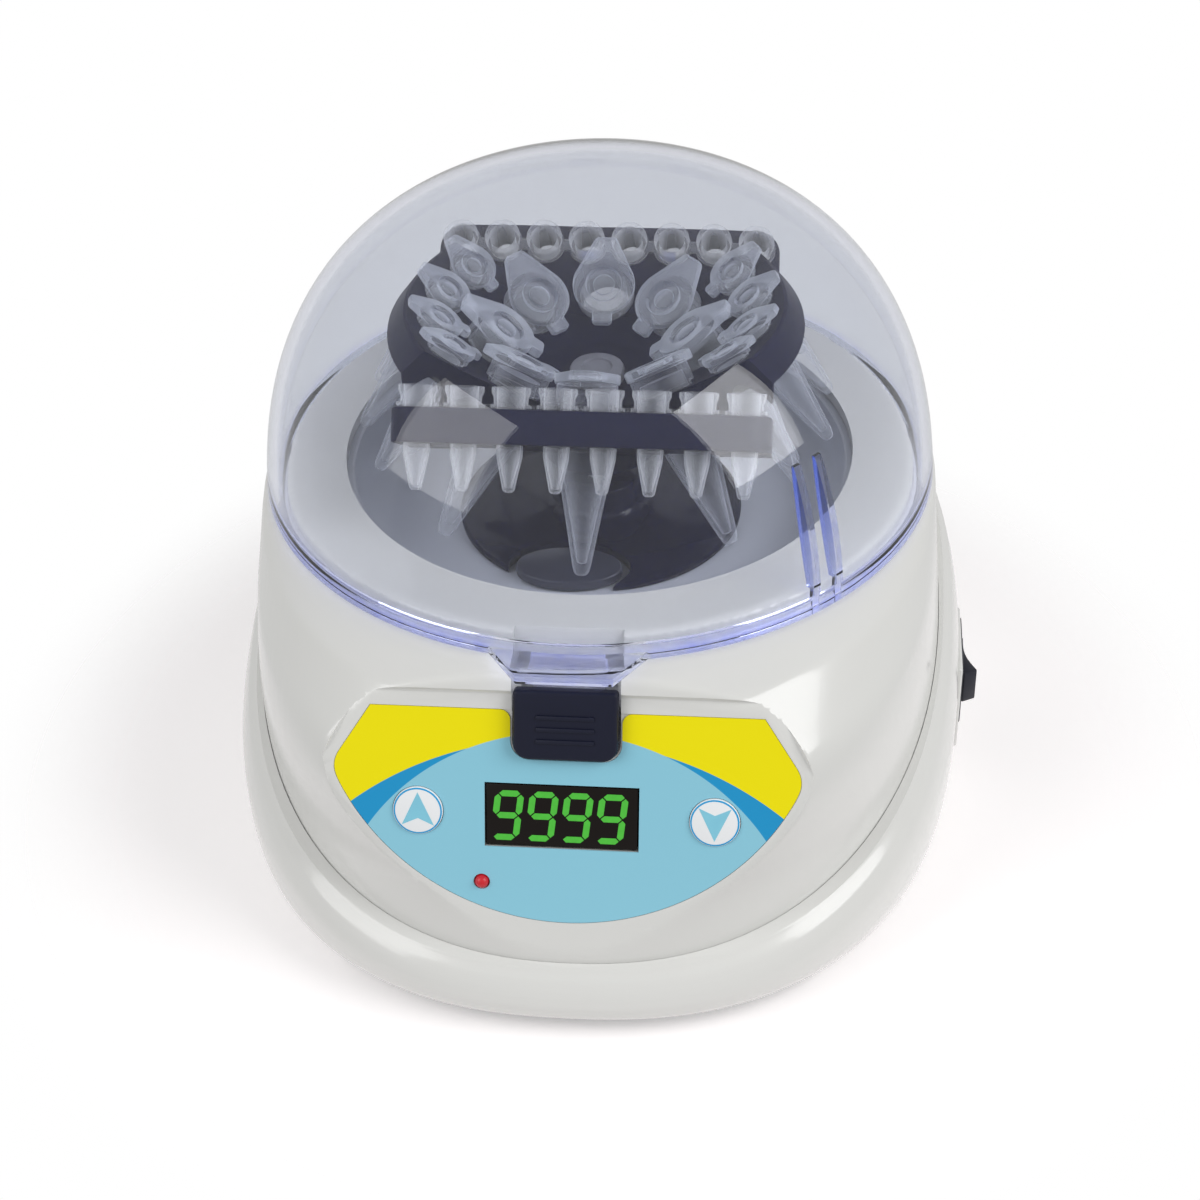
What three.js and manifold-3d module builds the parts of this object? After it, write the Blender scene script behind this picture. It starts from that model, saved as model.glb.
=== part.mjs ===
// A bench-top mini centrifuge: a white two-part casing with a sloping control
// panel, a clear domed lid on a rear hinge, and a dark angle rotor that holds
// capped tubes and two strips of small tubes over a shallow chamber.
// Units are millimetres and degrees. +Z is up and the panel faces -Y.
import * as THREE from 'three';
import { mergeVertices } from 'three/addons/utils/BufferGeometryUtils.js';
import Module from 'manifold-3d';

const wasm = await Module();
wasm.setup();

// Driving dimensions

// Clearances and cutting
const fitGap = 0.3;
const slideGap = 0.4;
const overrun = 2;
const reach = 200;

// Lid, whose dome sets the round of the casing
const lidWall = 2.2;
const domeRadius = 70.17;
const domeRise = 72.82;
const domeCentreZ = 62.74;
const domePower = 2.56;
const rimZ = 75;
const rimWidth = 3.77;
const rimInnerRadius = domeRadius - rimWidth;
const hingeStandOff = 5.33;
const hingeY = domeRadius + hingeStandOff;
const hingeZ = 78.5;
const hingeBarrelRadius = 3.5;
const hingePinRadius = 1.5;

// Control panel plane, set in front of the dome
const panelSlope = 69;
const panelStandOff = 1.83;
const panelY = -domeRadius - panelStandOff;
const panelZ = 72;

// Casing, with a deck inside the lid's rim and a mouth round the tubes' tips
const wall = 2.5;
const shellTopZ = rimZ - fitGap;
const shellFootZ = 10;
const shellLedge = 3.43;
const shellHalfWidth = domeRadius + shellLedge;
const shellRearReach = domeRadius + shellLedge;
const frontSwell = 26.5;
const shellFrontReach = frontSwell - panelY;
const deckZ = 78.65;
const rimClearance = 0.7;
const deckRadius = rimInnerRadius - rimClearance;
const tipCircle = 43.3;
const mouthShare = 0.433;
const mouthRadius = tipCircle + (deckRadius - tipCircle) * mouthShare;

// The seam between the upper casing and the skirt falls towards the front
const seamSideZ = 43.5;
const seamFall = 0.284;
const seamLap = 4;

// Skirt of the base
const skirtFootZ = 1.5;
const skirtSpread = 4.7;
const skirtHalfWidth = shellHalfWidth + skirtSpread;
const skirtRearReach = shellRearReach + skirtSpread;
const skirtSetBack = 1;
const skirtFrontReach = shellFrontReach - skirtSetBack;

// Label on the panel
const labelRadius = 48.7;
const labelCentreV = -0.4;
const labelTopV = -5;
const labelTopHalf = 37.5;
const labelTipHalf = 45.4;
const labelThickness = 0.8;
const labelGap = 0.1;

// Rotor and chamber
const tubeTilt = 36.5;
const rotorThickness = 6.8;
const coneSeatZ = 84.4;
const wingSeatY = 32;
const wingSeatZ = 106.4;
const wingHalfLength = 36.5;
const lobeRadius = 42.1;
const lobeHalfDepth = 21.5;
const rotorFloorZ = 94;
const hubRadius = 12;
const hubFootZ = 78;
const shaftRadius = 2.5;
const shaftRoom = 1;
const bowlFloorZ = 61.5;
const motorRadius = 18;
const motorLength = 40;
const motorTopZ = 52;

// Helpers

const radians = THREE.MathUtils.degToRad;
const tiltSine = Math.sin(radians(tubeTilt));
const tiltCosine = Math.cos(radians(tubeTilt));
const tiltSlope = tiltSine / tiltCosine;

function movedBy(geometry, matrix) {
  return geometry.clone().applyMatrix4(matrix);
}

// A closed geometry becomes a solid that can be cut and joined.
function solidOf(geometry) {
  const bare = geometry.clone();
  bare.deleteAttribute('normal');
  bare.deleteAttribute('uv');
  const merged = mergeVertices(bare);
  const corners = merged.index.array;
  const kept = [];
  for (let i = 0; i < corners.length; i += 3) {
    const [a, b, c] = [corners[i], corners[i + 1], corners[i + 2]];
    if (a !== b && b !== c && c !== a) kept.push(a, b, c);
  }
  return new wasm.Manifold(new wasm.Mesh({
    numProp: 3,
    vertProperties: new Float32Array(merged.attributes.position.array),
    triVerts: new Uint32Array(kept),
  }));
}

function geometryOf(solid) {
  const { numProp, vertProperties, triVerts } = solid.getMesh();
  const places = new Float32Array((vertProperties.length / numProp) * 3);
  for (let i = 0; i < places.length / 3; i += 1) {
    places.set(vertProperties.subarray(i * numProp, i * numProp + 3), i * 3);
  }
  const geometry = new THREE.BufferGeometry();
  geometry.setAttribute('position', new THREE.BufferAttribute(places, 3));
  geometry.setIndex(new THREE.BufferAttribute(new Uint32Array(triVerts), 1));
  geometry.computeVertexNormals();
  return geometry;
}

function joined(first, ...rest) {
  return rest.reduce((sum, next) => sum.add(next), first);
}

function cut(first, ...rest) {
  return rest.reduce((left, next) => left.subtract(next), first);
}

// A box given by its lowest and highest corners.
function boxBetween(low, high) {
  const size = high.map((value, i) => value - low[i]);
  const box = new THREE.BoxGeometry(...size);
  return box.translate(...low.map((value, i) => value + size[i] / 2));
}

// A turned piece on the Z axis. The profile is a closed loop of [radius, height].
function turned(profile, sides) {
  const points = profile.map(([radius, height]) => new THREE.Vector2(radius, height));
  points.push(points[0].clone());
  const lathe = new THREE.LatheGeometry(points, sides);
  return lathe.rotateX(Math.PI / 2);
}

function rod(radius, fromZ, toZ, sides) {
  const length = toZ - fromZ;
  const cylinder = new THREE.CylinderGeometry(radius, radius, length, sides);
  return cylinder.rotateX(Math.PI / 2).translate(0, 0, fromZ + length / 2);
}

function plate(shape, fromZ, toZ, curveSteps = 8) {
  const options = { depth: toZ - fromZ, bevelEnabled: false, curveSegments: curveSteps };
  return new THREE.ExtrudeGeometry(shape, options).translate(0, 0, fromZ);
}

function roundedOutline(lowX, lowY, highX, highY, lowRound, highRound) {
  const shape = new THREE.Shape();
  shape.moveTo(lowX + lowRound, lowY);
  shape.lineTo(highX - lowRound, lowY);
  shape.quadraticCurveTo(highX, lowY, highX, lowY + lowRound);
  shape.lineTo(highX, highY - highRound);
  shape.quadraticCurveTo(highX, highY, highX - highRound, highY);
  shape.lineTo(lowX + highRound, highY);
  shape.quadraticCurveTo(lowX, highY, lowX, highY - highRound);
  shape.lineTo(lowX, lowY + lowRound);
  shape.quadraticCurveTo(lowX, lowY, lowX + lowRound, lowY);
  return shape;
}

// Joins rings of points, listed from the bottom up, into one closed skin.
function skinned(rings) {
  const count = rings[0].length;
  const places = [];
  const faces = [];
  for (const ring of rings) {
    for (const point of ring) places.push(point.x, point.y, point.z);
  }
  for (let level = 0; level + 1 < rings.length; level += 1) {
    for (let i = 0; i < count; i += 1) {
      const a = level * count + i;
      const b = level * count + ((i + 1) % count);
      faces.push(a, b, b + count, a, b + count, a + count);
    }
  }
  const caps = [[rings[0], 0, false], [rings.at(-1), (rings.length - 1) * count, true]];
  for (const [ring, offset, up] of caps) {
    const middle = ring.reduce((sum, point) => sum.add(point), new THREE.Vector3()).divideScalar(count);
    const hub = places.length / 3;
    places.push(middle.x, middle.y, middle.z);
    for (let i = 0; i < count; i += 1) {
      const a = offset + i;
      const b = offset + ((i + 1) % count);
      faces.push(...(up ? [a, b, hub] : [b, a, hub]));
    }
  }
  const geometry = new THREE.BufferGeometry();
  geometry.setAttribute('position', new THREE.Float32BufferAttribute(places, 3));
  geometry.setIndex(faces);
  return geometry;
}

// Materials

function plastic(color, roughness, opacity = 1) {
  return new THREE.MeshStandardMaterial({
    color, roughness, metalness: 0, opacity, transparent: opacity < 1,
  });
}

const warmWhite = plastic(0xe4e5e0, 0.35);
const clearPlastic = plastic(0xc9d2ea, 0.08, 0.3);
const bowlGrey = plastic(0xb9bfcc, 0.4);
const rotorNavy = plastic(0x1e2040, 0.45);
const glossNavy = plastic(0x121634, 0.12);
const buttonNavy = plastic(0x2d2d3e, 0.5);
const switchBlack = plastic(0x1a1c2a, 0.4);
const frostedClear = plastic(0xc8ccd6, 0.35, 0.6);
const stripClear = plastic(0xdfe4ea, 0.15, 0.5);
const labelBlue = plastic(0x8dc8dc, 0.3);
const keyWhite = plastic(0xf6f8fa, 0.35);
const displayBlack = plastic(0x120802, 0.2);
const lampRed = plastic(0xc0202c, 0.2);
const boardGreen = plastic(0x2c6e49, 0.6);
const rubberBlack = plastic(0x1b1b1d, 0.9);
const windowGrey = plastic(0x34363f, 0.25);
const knobGrey = plastic(0x77787f, 0.4);
const steel = new THREE.MeshStandardMaterial({ color: 0xb8babd, roughness: 0.3, metalness: 1 });
const zinc = new THREE.MeshStandardMaterial({ color: 0x8e9196, roughness: 0.45, metalness: 1 });

const group = new THREE.Group();
const body = new THREE.Group();
group.add(body);

const panel = new THREE.Group();
panel.position.set(0, panelY, panelZ);
panel.rotation.x = radians(panelSlope);
body.add(panel);
panel.updateMatrix();
const panelFrame = panel.matrix.clone();

function addMesh(parent, name, geometry, material) {
  const mesh = new THREE.Mesh(geometry, material);
  mesh.name = name;
  parent.add(mesh);
  return mesh;
}

function inBody(panelGeometry) {
  return solidOf(movedBy(panelGeometry, panelFrame));
}

// Casing outlines

const outlineSides = 36;

// A rounded outline, broader in front than behind. A power of 2 is an ellipse.
function outlinePoint(angle, side, reachY, power) {
  const across = Math.sign(Math.cos(angle)) * Math.abs(Math.cos(angle)) ** (2 / power);
  const along = Math.sign(Math.sin(angle)) * Math.abs(Math.sin(angle)) ** (2 / power);
  return [across * side, along * reachY];
}

function outline(side, front, rear, power, heightOf) {
  const ring = [];
  for (let i = 0; i < outlineSides; i += 1) {
    const angle = (i / outlineSides) * 2 * Math.PI;
    const [x, y] = outlinePoint(angle, side, angle > Math.PI ? front : rear, power);
    ring.push(new THREE.Vector3(x, y, heightOf(x, y)));
  }
  return ring;
}

// Levels of the upper casing, as shares of its height, half width, front reach
// and rear reach, and the power of the outline at that level.
const upperLevelShares = [
  [0, 1, 0.939, 1, 2.28],
  [0.13, 0.999, 0.934, 0.999, 2.28],
  [0.317, 0.997, 0.93, 0.997, 2.28],
  [0.464, 0.993, 0.954, 0.993, 2.28],
  [0.587, 0.986, 0.985, 0.986, 2.25],
  [0.68, 0.98, 1, 0.98, 2.2],
  [0.773, 0.973, 0.975, 0.973, 2.2],
  [0.866, 0.966, 0.894, 0.966, 2.15],
  [0.94, 0.961, 0.827, 0.961, 2.1],
  [0.983, 0.957, 0.742, 0.957, 2.05],
  [1, 0.95, 0.7107, 0.95, 2],
];

function upperForm(grow, topZ) {
  const levels = upperLevelShares.filter((_, i) => grow >= 0 || i % 2 === 0);
  const rings = levels.map(([height, side, front, rear, power]) => {
    const z = shellFootZ + height * (topZ - shellFootZ);
    return outline(
      side * shellHalfWidth + grow,
      front * shellFrontReach + grow,
      rear * shellRearReach + grow,
      power,
      () => z,
    );
  });
  return solidOf(skinned(rings));
}

function seamHeight(y) {
  return seamSideZ + seamFall * y;
}

// Everything under the seam's plane, moved down by a drop.
function belowSeam(drop) {
  const slab = boxBetween([-reach, -reach, -reach], [reach, reach, 0]);
  const tilt = new THREE.Matrix4().makeRotationX(Math.atan(seamFall));
  tilt.setPosition(0, 0, seamSideZ - drop);
  return solidOf(movedBy(slab, tilt));
}

// Upper casing

const deckThickness = 2.5;
const labelRecess = labelThickness + labelGap;
const panelWall = 2.4;

// Display, keys and lamp, on the panel
const displayHalfWidth = 14.6;
const displayMiddleU = -0.8;
const displayTopV = -21;
const displayFootV = -33.6;
const displayDepth = 8.4;
const boardStandOff = 0.5;
const keyRadius = 4.85;
const keyU = 28.6;
const keyV = -27;
const keyTravel = 0.6;
const keyProud = 0.5;
const lampU = -16.3;
const lampV = -41.3;
const lampRadius = 1.3;

// Push button and catch, on the panel
const buttonHalfWidth = 10;
const buttonTopV = -1.2;
const buttonFootV = -15.1;
const buttonProud = 2.6;
const buttonSink = 1;
const buttonRound = 3;
const buttonTravel = 2.4;
const guideSpare = 3;
const catchSetBack = 1;
const plungerLowU = -8;
const plungerHighU = 0;
const plungerTopV = -9;
const plungerFootV = -14;
const plungerDepth = 10;
const catchLowU = -6.5;
const catchHighU = -1.5;
const catchTopV = 0.4;
const catchThickness = 2.5;
const catchNoseDepth = 6.8;
const catchNoseFootV = -1.6;
const guideBack = plungerDepth + buttonTravel + guideSpare;

// Latch pocket and the lid's tongue
const pocketHalfWidth = 9.3;
const pocketReach = 7.4;
const pocketBackY = panelY + pocketReach;
const pocketFloorZ = 65.4;
const pocketWall = 1.6;
const tongueHalfWidth = 7;
const tongueSetBack = 3.4;
const tongueFrontY = panelY + tongueSetBack;
const tongueThickness = 2;
const tongueFootZ = 67.6;

// Safety switch under the tongue
const sensePinX = 6;
const sensePinY = tongueFrontY + tongueThickness / 2;
const sensePinRadius = 1.3;
const senseTravel = 1.2;
const senseTopZ = pocketFloorZ - pocketWall - fitGap;
const senseSize = [5.8, 12, 6.5];

// Hinge knuckles: the casing has an outer pair and a middle one
const hingeBlockHalf = 24;
const hingeBlockFootZ = 68;
const knuckleEdges = [5, 12];
const hingePinHalf = 23;

// Board posts behind the panel
const boardFrontDepth = displayDepth + fitGap + boardStandOff;
const boardThickness = 1.6;
const boardHalfWidth = 35;
const boardTopV = -18.2;
const boardFootV = -44.5;
const postRadius = 2;
const boardPosts = [[-31.5, -20.5], [31.5, -20.5], [-22, -41.5], [22, -41.5]];

function labelOutline(grow) {
  const diagonal = new THREE.Vector2(labelTipHalf - labelTopHalf, 0);
  const tipDrop = Math.sqrt(labelRadius ** 2 - labelTipHalf ** 2);
  diagonal.y = labelCentreV - tipDrop - labelTopV;
  const normal = new THREE.Vector2(-diagonal.y, diagonal.x).normalize();
  const cornerGrow = (grow * normal.x) / (1 + normal.y);
  const radius = labelRadius + grow;
  const tipAngle = Math.atan2(-tipDrop, labelTipHalf);
  const shape = new THREE.Shape();
  shape.moveTo(-labelTopHalf - cornerGrow, labelTopV + grow);
  shape.lineTo(-radius * Math.cos(tipAngle), labelCentreV + radius * Math.sin(tipAngle));
  shape.absarc(0, labelCentreV, radius, Math.PI - tipAngle, 2 * Math.PI + tipAngle, false);
  shape.lineTo(labelTopHalf + cornerGrow, labelTopV + grow);
  shape.closePath();
  return shape;
}

function buttonWindow(grow) {
  return roundedOutline(
    -buttonHalfWidth - grow,
    buttonFootV - grow,
    buttonHalfWidth + grow,
    buttonTopV + reach / 10,
    buttonRound + grow,
    buttonRound,
  );
}

function boxOnPanel(low, high) {
  return inBody(boxBetween(low, high));
}

function rodOnPanel(u, v, radius, fromW, toW, sides) {
  return inBody(rod(radius, fromW, toW, sides).translate(u, v, 0));
}

function makeUpperShell() {
  const deck = solidOf(rod(deckRadius, shellTopZ - wall, deckZ, outlineSides));
  const innerDeck = solidOf(rod(deckRadius - wall, shellFootZ, deckZ - deckThickness, outlineSides));
  const front = boxOnPanel([-reach, -reach, 0], [reach, reach, reach]);
  const innerFront = boxOnPanel([-reach, -reach, -labelRecess - panelWall], [reach, reach, reach]);
  const innerTop = solidOf(boxBetween([-reach, -reach, shellTopZ - deckThickness], [reach, reach, reach]));
  const outer = upperForm(0, shellTopZ).subtract(front);
  const hingeBlock = solidOf(boxBetween(
    [-hingeBlockHalf, deckRadius - wall, hingeBlockFootZ],
    [hingeBlockHalf, hingeY + hingeBarrelRadius, shellTopZ],
  ));
  const hollow = cut(upperForm(-wall, shellTopZ), innerFront, innerTop);
  let shell = joined(outer, deck, hingeBlock);
  shell = cut(shell, hollow, innerDeck, belowSeam(seamLap));
  shell = cut(shell, solidOf(rod(mouthRadius, 0, reach, outlineSides)));

  // Knuckles and the hinge pin's bore
  const [innerEdge, outerEdge] = knuckleEdges;
  const knuckles = [[-hingeBlockHalf, -outerEdge], [-innerEdge, innerEdge], [outerEdge, hingeBlockHalf]];
  for (const [fromX, toX] of knuckles) {
    const barrel = new THREE.CylinderGeometry(hingeBarrelRadius, hingeBarrelRadius, toX - fromX, 16);
    barrel.rotateZ(Math.PI / 2).translate((fromX + toX) / 2, hingeY, hingeZ);
    const root = boxBetween(
      [fromX, hingeY - hingeBarrelRadius, shellTopZ - overrun],
      [toX, hingeY + hingeBarrelRadius, hingeZ],
    );
    shell = joined(shell, solidOf(barrel), solidOf(root));
  }
  const pinBore = new THREE.CylinderGeometry(hingePinRadius + fitGap, hingePinRadius + fitGap, reach, 12);
  shell = cut(shell, solidOf(pinBore.rotateZ(Math.PI / 2).translate(0, hingeY, hingeZ)));

  // Latch pocket, open at the top and the front
  const pocket = boxBetween(
    [-pocketHalfWidth - pocketWall, panelY + wall, pocketFloorZ - pocketWall],
    [pocketHalfWidth + pocketWall, pocketBackY + pocketWall, shellTopZ],
  );
  const pocketSpace = boxBetween(
    [-pocketHalfWidth, panelY - reach, pocketFloorZ],
    [pocketHalfWidth, pocketBackY, reach],
  );
  const pocketBlock = solidOf(pocket).subtract(front);
  shell = cut(joined(shell, pocketBlock), solidOf(pocketSpace));
  const pinHole = rod(sensePinRadius + fitGap, 0, reach, 12);
  shell = cut(shell, solidOf(pinHole.translate(sensePinX, sensePinY, 0)));
  shell = cut(shell, boxOnPanel(
    [catchLowU - slideGap, plungerFootV, -plungerDepth - buttonTravel - slideGap],
    [catchHighU + slideGap, catchTopV + slideGap, -catchNoseDepth + slideGap],
  ));

  // Guide tray behind the button, which carries the plunger and its spring
  const trayWall = pocketWall;
  const tray = boxOnPanel(
    [plungerLowU - slideGap - trayWall, plungerFootV - slideGap - trayWall * 2, -guideBack - trayWall],
    [plungerHighU + slideGap + trayWall, plungerTopV + trayWall * 2, -labelRecess - panelWall / 2],
  );
  const traySpace = boxOnPanel(
    [plungerLowU - slideGap, plungerFootV - slideGap, -guideBack],
    [plungerHighU + slideGap, reach, reach],
  );
  shell = joined(shell, tray.subtract(traySpace));

  // Panel features
  for (const [u, v] of boardPosts) {
    shell = joined(shell, rodOnPanel(u, v, postRadius, -boardFrontDepth + fitGap, -labelRecess, 10));
  }
  shell = cut(shell, inBody(plate(labelOutline(fitGap), -labelRecess, overrun, 14)));
  shell = cut(shell, inBody(plate(buttonWindow(slideGap), -labelRecess - panelWall - overrun, overrun)));
  shell = cut(shell, boxOnPanel(
    [displayMiddleU - displayHalfWidth - fitGap, displayFootV - fitGap, -displayDepth],
    [displayMiddleU + displayHalfWidth + fitGap, displayTopV + fitGap, overrun],
  ));
  for (const side of [-1, 1]) {
    shell = cut(shell, rodOnPanel(side * keyU, keyV, keyRadius + slideGap, -keyRadius, overrun, 18));
  }
  return cut(shell, rodOnPanel(lampU, lampV, lampRadius + fitGap, -lampRadius * 3, overrun, 12));
}

addMesh(body, 'top_shell', geometryOf(makeUpperShell()), warmWhite);

// Skirt of the base, with its shoulder rounding in to the seam

// Levels as shares of the height up to the seam, the half width and the reach
const skirtLevelShares = [
  [0, 0.967, 0.918],
  [0.12, 0.985, 0.957],
  [0.35, 0.997, 0.992],
  [0.55, 1, 1],
  [0.7, 0.998, 0.998],
  [0.82, 0.986, 0.99],
  [0.92, 0.97, 0.978],
  [1, 0.946, 0.958],
];
const skirtPower = 2.42;

function skirtForm(inset, topDrop, footDrop) {
  const levels = skirtLevelShares.filter((_, i) => inset === 0 || i % 2 === 1 || i === 0);
  const rings = levels.map(([height, side, front]) => outline(
    side * skirtHalfWidth - inset,
    front * skirtFrontReach - inset,
    side * skirtRearReach - inset,
    skirtPower,
    (x, y) => skirtFootZ - footDrop + height * (seamHeight(y) - topDrop - skirtFootZ + footDrop),
  ));
  return solidOf(skinned(rings));
}

const skirtWall = 2.6;
const screwTurns = [33, 147, 213, 327];
const bossRadius = 4.5;
const bossSink = 1;
const bossHeight = 20;
const bossRibHalf = 1.2;
const bossRibReach = 16;
const screwRadius = 1.6;
const screwHeadRadius = 3.2;
const screwHeadTop = 1;
const screwLength = 14;
const coverThickness = 2.5;

// A place inside the skirt's foot, a given inset from its outer face
function skirtPlace(turn, inset) {
  const [, side, front] = skirtLevelShares[0];
  const reachY = turn > 180 ? front * skirtFrontReach : side * skirtRearReach;
  const [x, y] = outlinePoint(radians(turn), side * skirtHalfWidth, reachY, skirtPower);
  const inward = 1 - inset / Math.hypot(x, y);
  return [x * inward, y * inward];
}

function screwPlace(turn) {
  return skirtPlace(turn, skirtWall + bossRadius - bossSink);
}

// Power switch place on the right side
const switchZ = 20;
const bezelHalf = [9.3, 7.5];
const bezelDepth = 1.2;
const bezelProud = 0.3;
const switchHalf = [8.2, 6.4];
const switchDepth = 14;
const padProud = 0.6;
const padX = skirtHalfWidth + padProud;
const padHalfY = 11.2;
const padLowZ = 7;
const padHighZ = 29;
const padDepth = 12;

// Power inlet place at the rear
const padRearY = skirtRearReach + padProud;
const inletProud = 0.3;
const inletZ = 22;
const inletHalf = 5.5;
const inletDepth = 14;
const inletPadHalf = 12;
const socketRadius = 2.9;
const socketDepth = 9;
const contactRadius = 0.9;
const contactSink = 1;

// A block around the switch's middle, from one depth to another off the pad
function switchBlock([halfY, halfZ], grow, fromX, toX) {
  return solidOf(boxBetween(
    [padX + fromX, -halfY - grow, switchZ - halfZ - grow],
    [padX + toX, halfY + grow, switchZ + halfZ + grow],
  ));
}

function makeBaseShell() {
  const sidePad = solidOf(boxBetween([padX - padDepth, -padHalfY, padLowZ], [padX, padHalfY, padHighZ]));
  const rearPad = solidOf(boxBetween(
    [-inletPadHalf, padRearY - padDepth, padLowZ],
    [inletPadHalf, padRearY, inletZ + inletPadHalf],
  ));
  let shell = joined(skirtForm(0, 0, 0), sidePad, rearPad);
  shell = cut(shell, skirtForm(skirtWall, skirtWall, overrun));
  const ribRoom = skirtForm(skirtWall / 2, skirtWall / 2, 0);
  for (const turn of screwTurns) {
    const [x, y] = screwPlace(turn);
    const footZ = skirtFootZ + coverThickness + fitGap;
    const off = Math.hypot(x, y);
    const rib = boxBetween([off, -bossRibHalf, footZ], [off + bossRibReach, bossRibHalf, footZ + bossHeight]);
    shell = joined(shell, solidOf(rib.rotateZ(Math.atan2(y, x))).intersect(ribRoom));
    shell = joined(shell, solidOf(rod(bossRadius, footZ, footZ + bossHeight, 14).translate(x, y, 0)));
    shell = cut(shell, solidOf(rod(screwRadius + fitGap, 0, footZ + screwLength, 10).translate(x, y, 0)));
  }
  shell = cut(shell, upperForm(fitGap, shellTopZ).subtract(belowSeam(seamLap + fitGap)));
  shell = cut(shell, switchBlock(switchHalf, fitGap, -padDepth - overrun, overrun));
  shell = cut(shell, switchBlock(bezelHalf, fitGap, -bezelDepth - fitGap, overrun));
  return cut(shell, solidOf(boxBetween(
    [-inletHalf - fitGap, padRearY - padDepth - overrun, inletZ - inletHalf - fitGap],
    [inletHalf + fitGap, padRearY + overrun, inletZ + inletHalf + fitGap],
  )));
}

addMesh(body, 'base_shell', geometryOf(makeBaseShell()), warmWhite);

// Bottom cover, with vent slots and posts for the motor mounts

const mountTurns = [90, 210, 330];
const mountRadius = 26;
const postHalf = 4.5;
const bracketThickness = 2.2;
const damperHeight = 6;
const damperRadius = 6;
const damperGroove = 1.2;
const bracketZ = motorTopZ + fitGap;
const damperZ = bracketZ - fitGap - damperHeight;
const ventCount = 6;
const ventPitch = 7;
const ventHalf = [1.5, 11];
const ventY = -52;
const footRadius = 8;
const footEase = 1;
const footSeat = 1;
const footTurns = [50, 130, 236, 304];
const footInset = 24;

function footPlace(turn) {
  return skirtPlace(turn, footInset);
}

function makeBottomCover() {
  const inset = skirtWall + fitGap;
  const [, side, front] = skirtLevelShares[0];
  const topZ = skirtFootZ + coverThickness;
  const rings = [skirtFootZ, topZ].map((z) => outline(
    side * skirtHalfWidth - inset,
    front * skirtFrontReach - inset,
    side * skirtRearReach - inset,
    skirtPower,
    () => z,
  ));
  let cover = solidOf(skinned(rings));
  for (const turn of mountTurns) {
    const angle = radians(turn);
    const post = rod(postHalf, topZ - coverThickness / 2, damperZ - fitGap, 14);
    post.translate(mountRadius * Math.cos(angle), mountRadius * Math.sin(angle), 0);
    cover = joined(cover, solidOf(post));
  }
  for (const turn of screwTurns) {
    const [x, y] = screwPlace(turn);
    cover = cut(cover, solidOf(rod(screwRadius + fitGap, 0, reach, 10).translate(x, y, 0)));
    const sink = rod(screwHeadRadius + fitGap, 0, skirtFootZ + screwHeadTop + fitGap, 14);
    cover = cut(cover, solidOf(sink.translate(x, y, 0)));
  }
  for (const turn of footTurns) {
    const [x, y] = footPlace(turn);
    const seat = rod(footRadius + fitGap, 0, skirtFootZ + footSeat, 12);
    cover = cut(cover, solidOf(seat.translate(x, y, 0)));
  }
  for (let i = 0; i < ventCount; i += 1) {
    const x = (i - (ventCount - 1) / 2) * ventPitch;
    const [halfX, halfY] = ventHalf;
    const slot = boxBetween([x - halfX, ventY - halfY, 0], [x + halfX, ventY + halfY, topZ + overrun]);
    cover = cut(cover, solidOf(slot));
  }
  return cover;
}

addMesh(body, 'bottom_cover', geometryOf(makeBottomCover()), warmWhite);

footTurns.forEach((turn, i) => {
  const [x, y] = footPlace(turn);
  const top = skirtFootZ + footSeat - fitGap;
  const profile = [[0, 0], [footRadius - footEase, 0], [footRadius, footEase], [footRadius, top], [0, top]];
  addMesh(body, `foot_${i + 1}`, turned(profile, 12), rubberBlack).position.set(x, y, 0);
});

screwTurns.forEach((turn, i) => {
  const [x, y] = screwPlace(turn);
  const profile = [
    [0, 0], [screwHeadRadius, 0], [screwHeadRadius, screwHeadTop],
    [screwRadius, screwHeadTop], [screwRadius, screwLength], [0, screwLength],
  ];
  addMesh(body, `cover_screw_${i + 1}`, turned(profile, 8), steel).position.set(x, y, skirtFootZ);
});

// Chamber: bowl, glossy motor cover and the oval sensor window

const bowlWall = 2;
const bowlSetBack = 1.5;
const bowlRadius = mouthRadius - bowlSetBack;
const bowlBend = 8;
const bowlTopZ = deckZ - deckThickness - fitGap;
const bowlFlange = 5.5;
const bowlHoleRadius = 8;
const bowlBendSteps = 3;

function makeBowl() {
  const inner = [];
  const outer = [];
  for (let i = 0; i <= bowlBendSteps; i += 1) {
    const angle = (i / bowlBendSteps) * (Math.PI / 2);
    const across = Math.sin(angle);
    const drop = Math.cos(angle);
    inner.push([bowlRadius - bowlBend + bowlBend * across, bowlFloorZ + bowlBend * (1 - drop)]);
    outer.push([
      bowlRadius - bowlBend + (bowlBend + bowlWall) * across,
      bowlFloorZ + bowlBend - (bowlBend + bowlWall) * drop,
    ]);
  }
  const profile = [
    [bowlHoleRadius, bowlFloorZ - bowlWall],
    ...outer,
    [bowlRadius + bowlWall, bowlTopZ - bowlWall],
    [bowlRadius + bowlFlange, bowlTopZ - bowlWall],
    [bowlRadius + bowlFlange, bowlTopZ],
    [bowlRadius, bowlTopZ],
    ...inner.reverse(),
    [bowlHoleRadius, bowlFloorZ],
  ];
  return turned(profile, 32);
}

addMesh(body, 'chamber_bowl', makeBowl(), bowlGrey);

const coverRadius = 30;
const coverEdge = 1.8;
const coverRise = 2.6;
const coverBossRadius = 9;
const coverBossRise = 9.5;
const coverStart = bowlFloorZ + fitGap;
const windowCentre = [-4.4, -24.4];
const windowHalf = [11, 6.2];
const windowMargin = 1.6;
const windowRise = 2.4;

function ellipseShape(centre, half) {
  const shape = new THREE.Shape();
  shape.absellipse(...centre, ...half, 0, 2 * Math.PI, false, 0);
  return shape;
}

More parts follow.
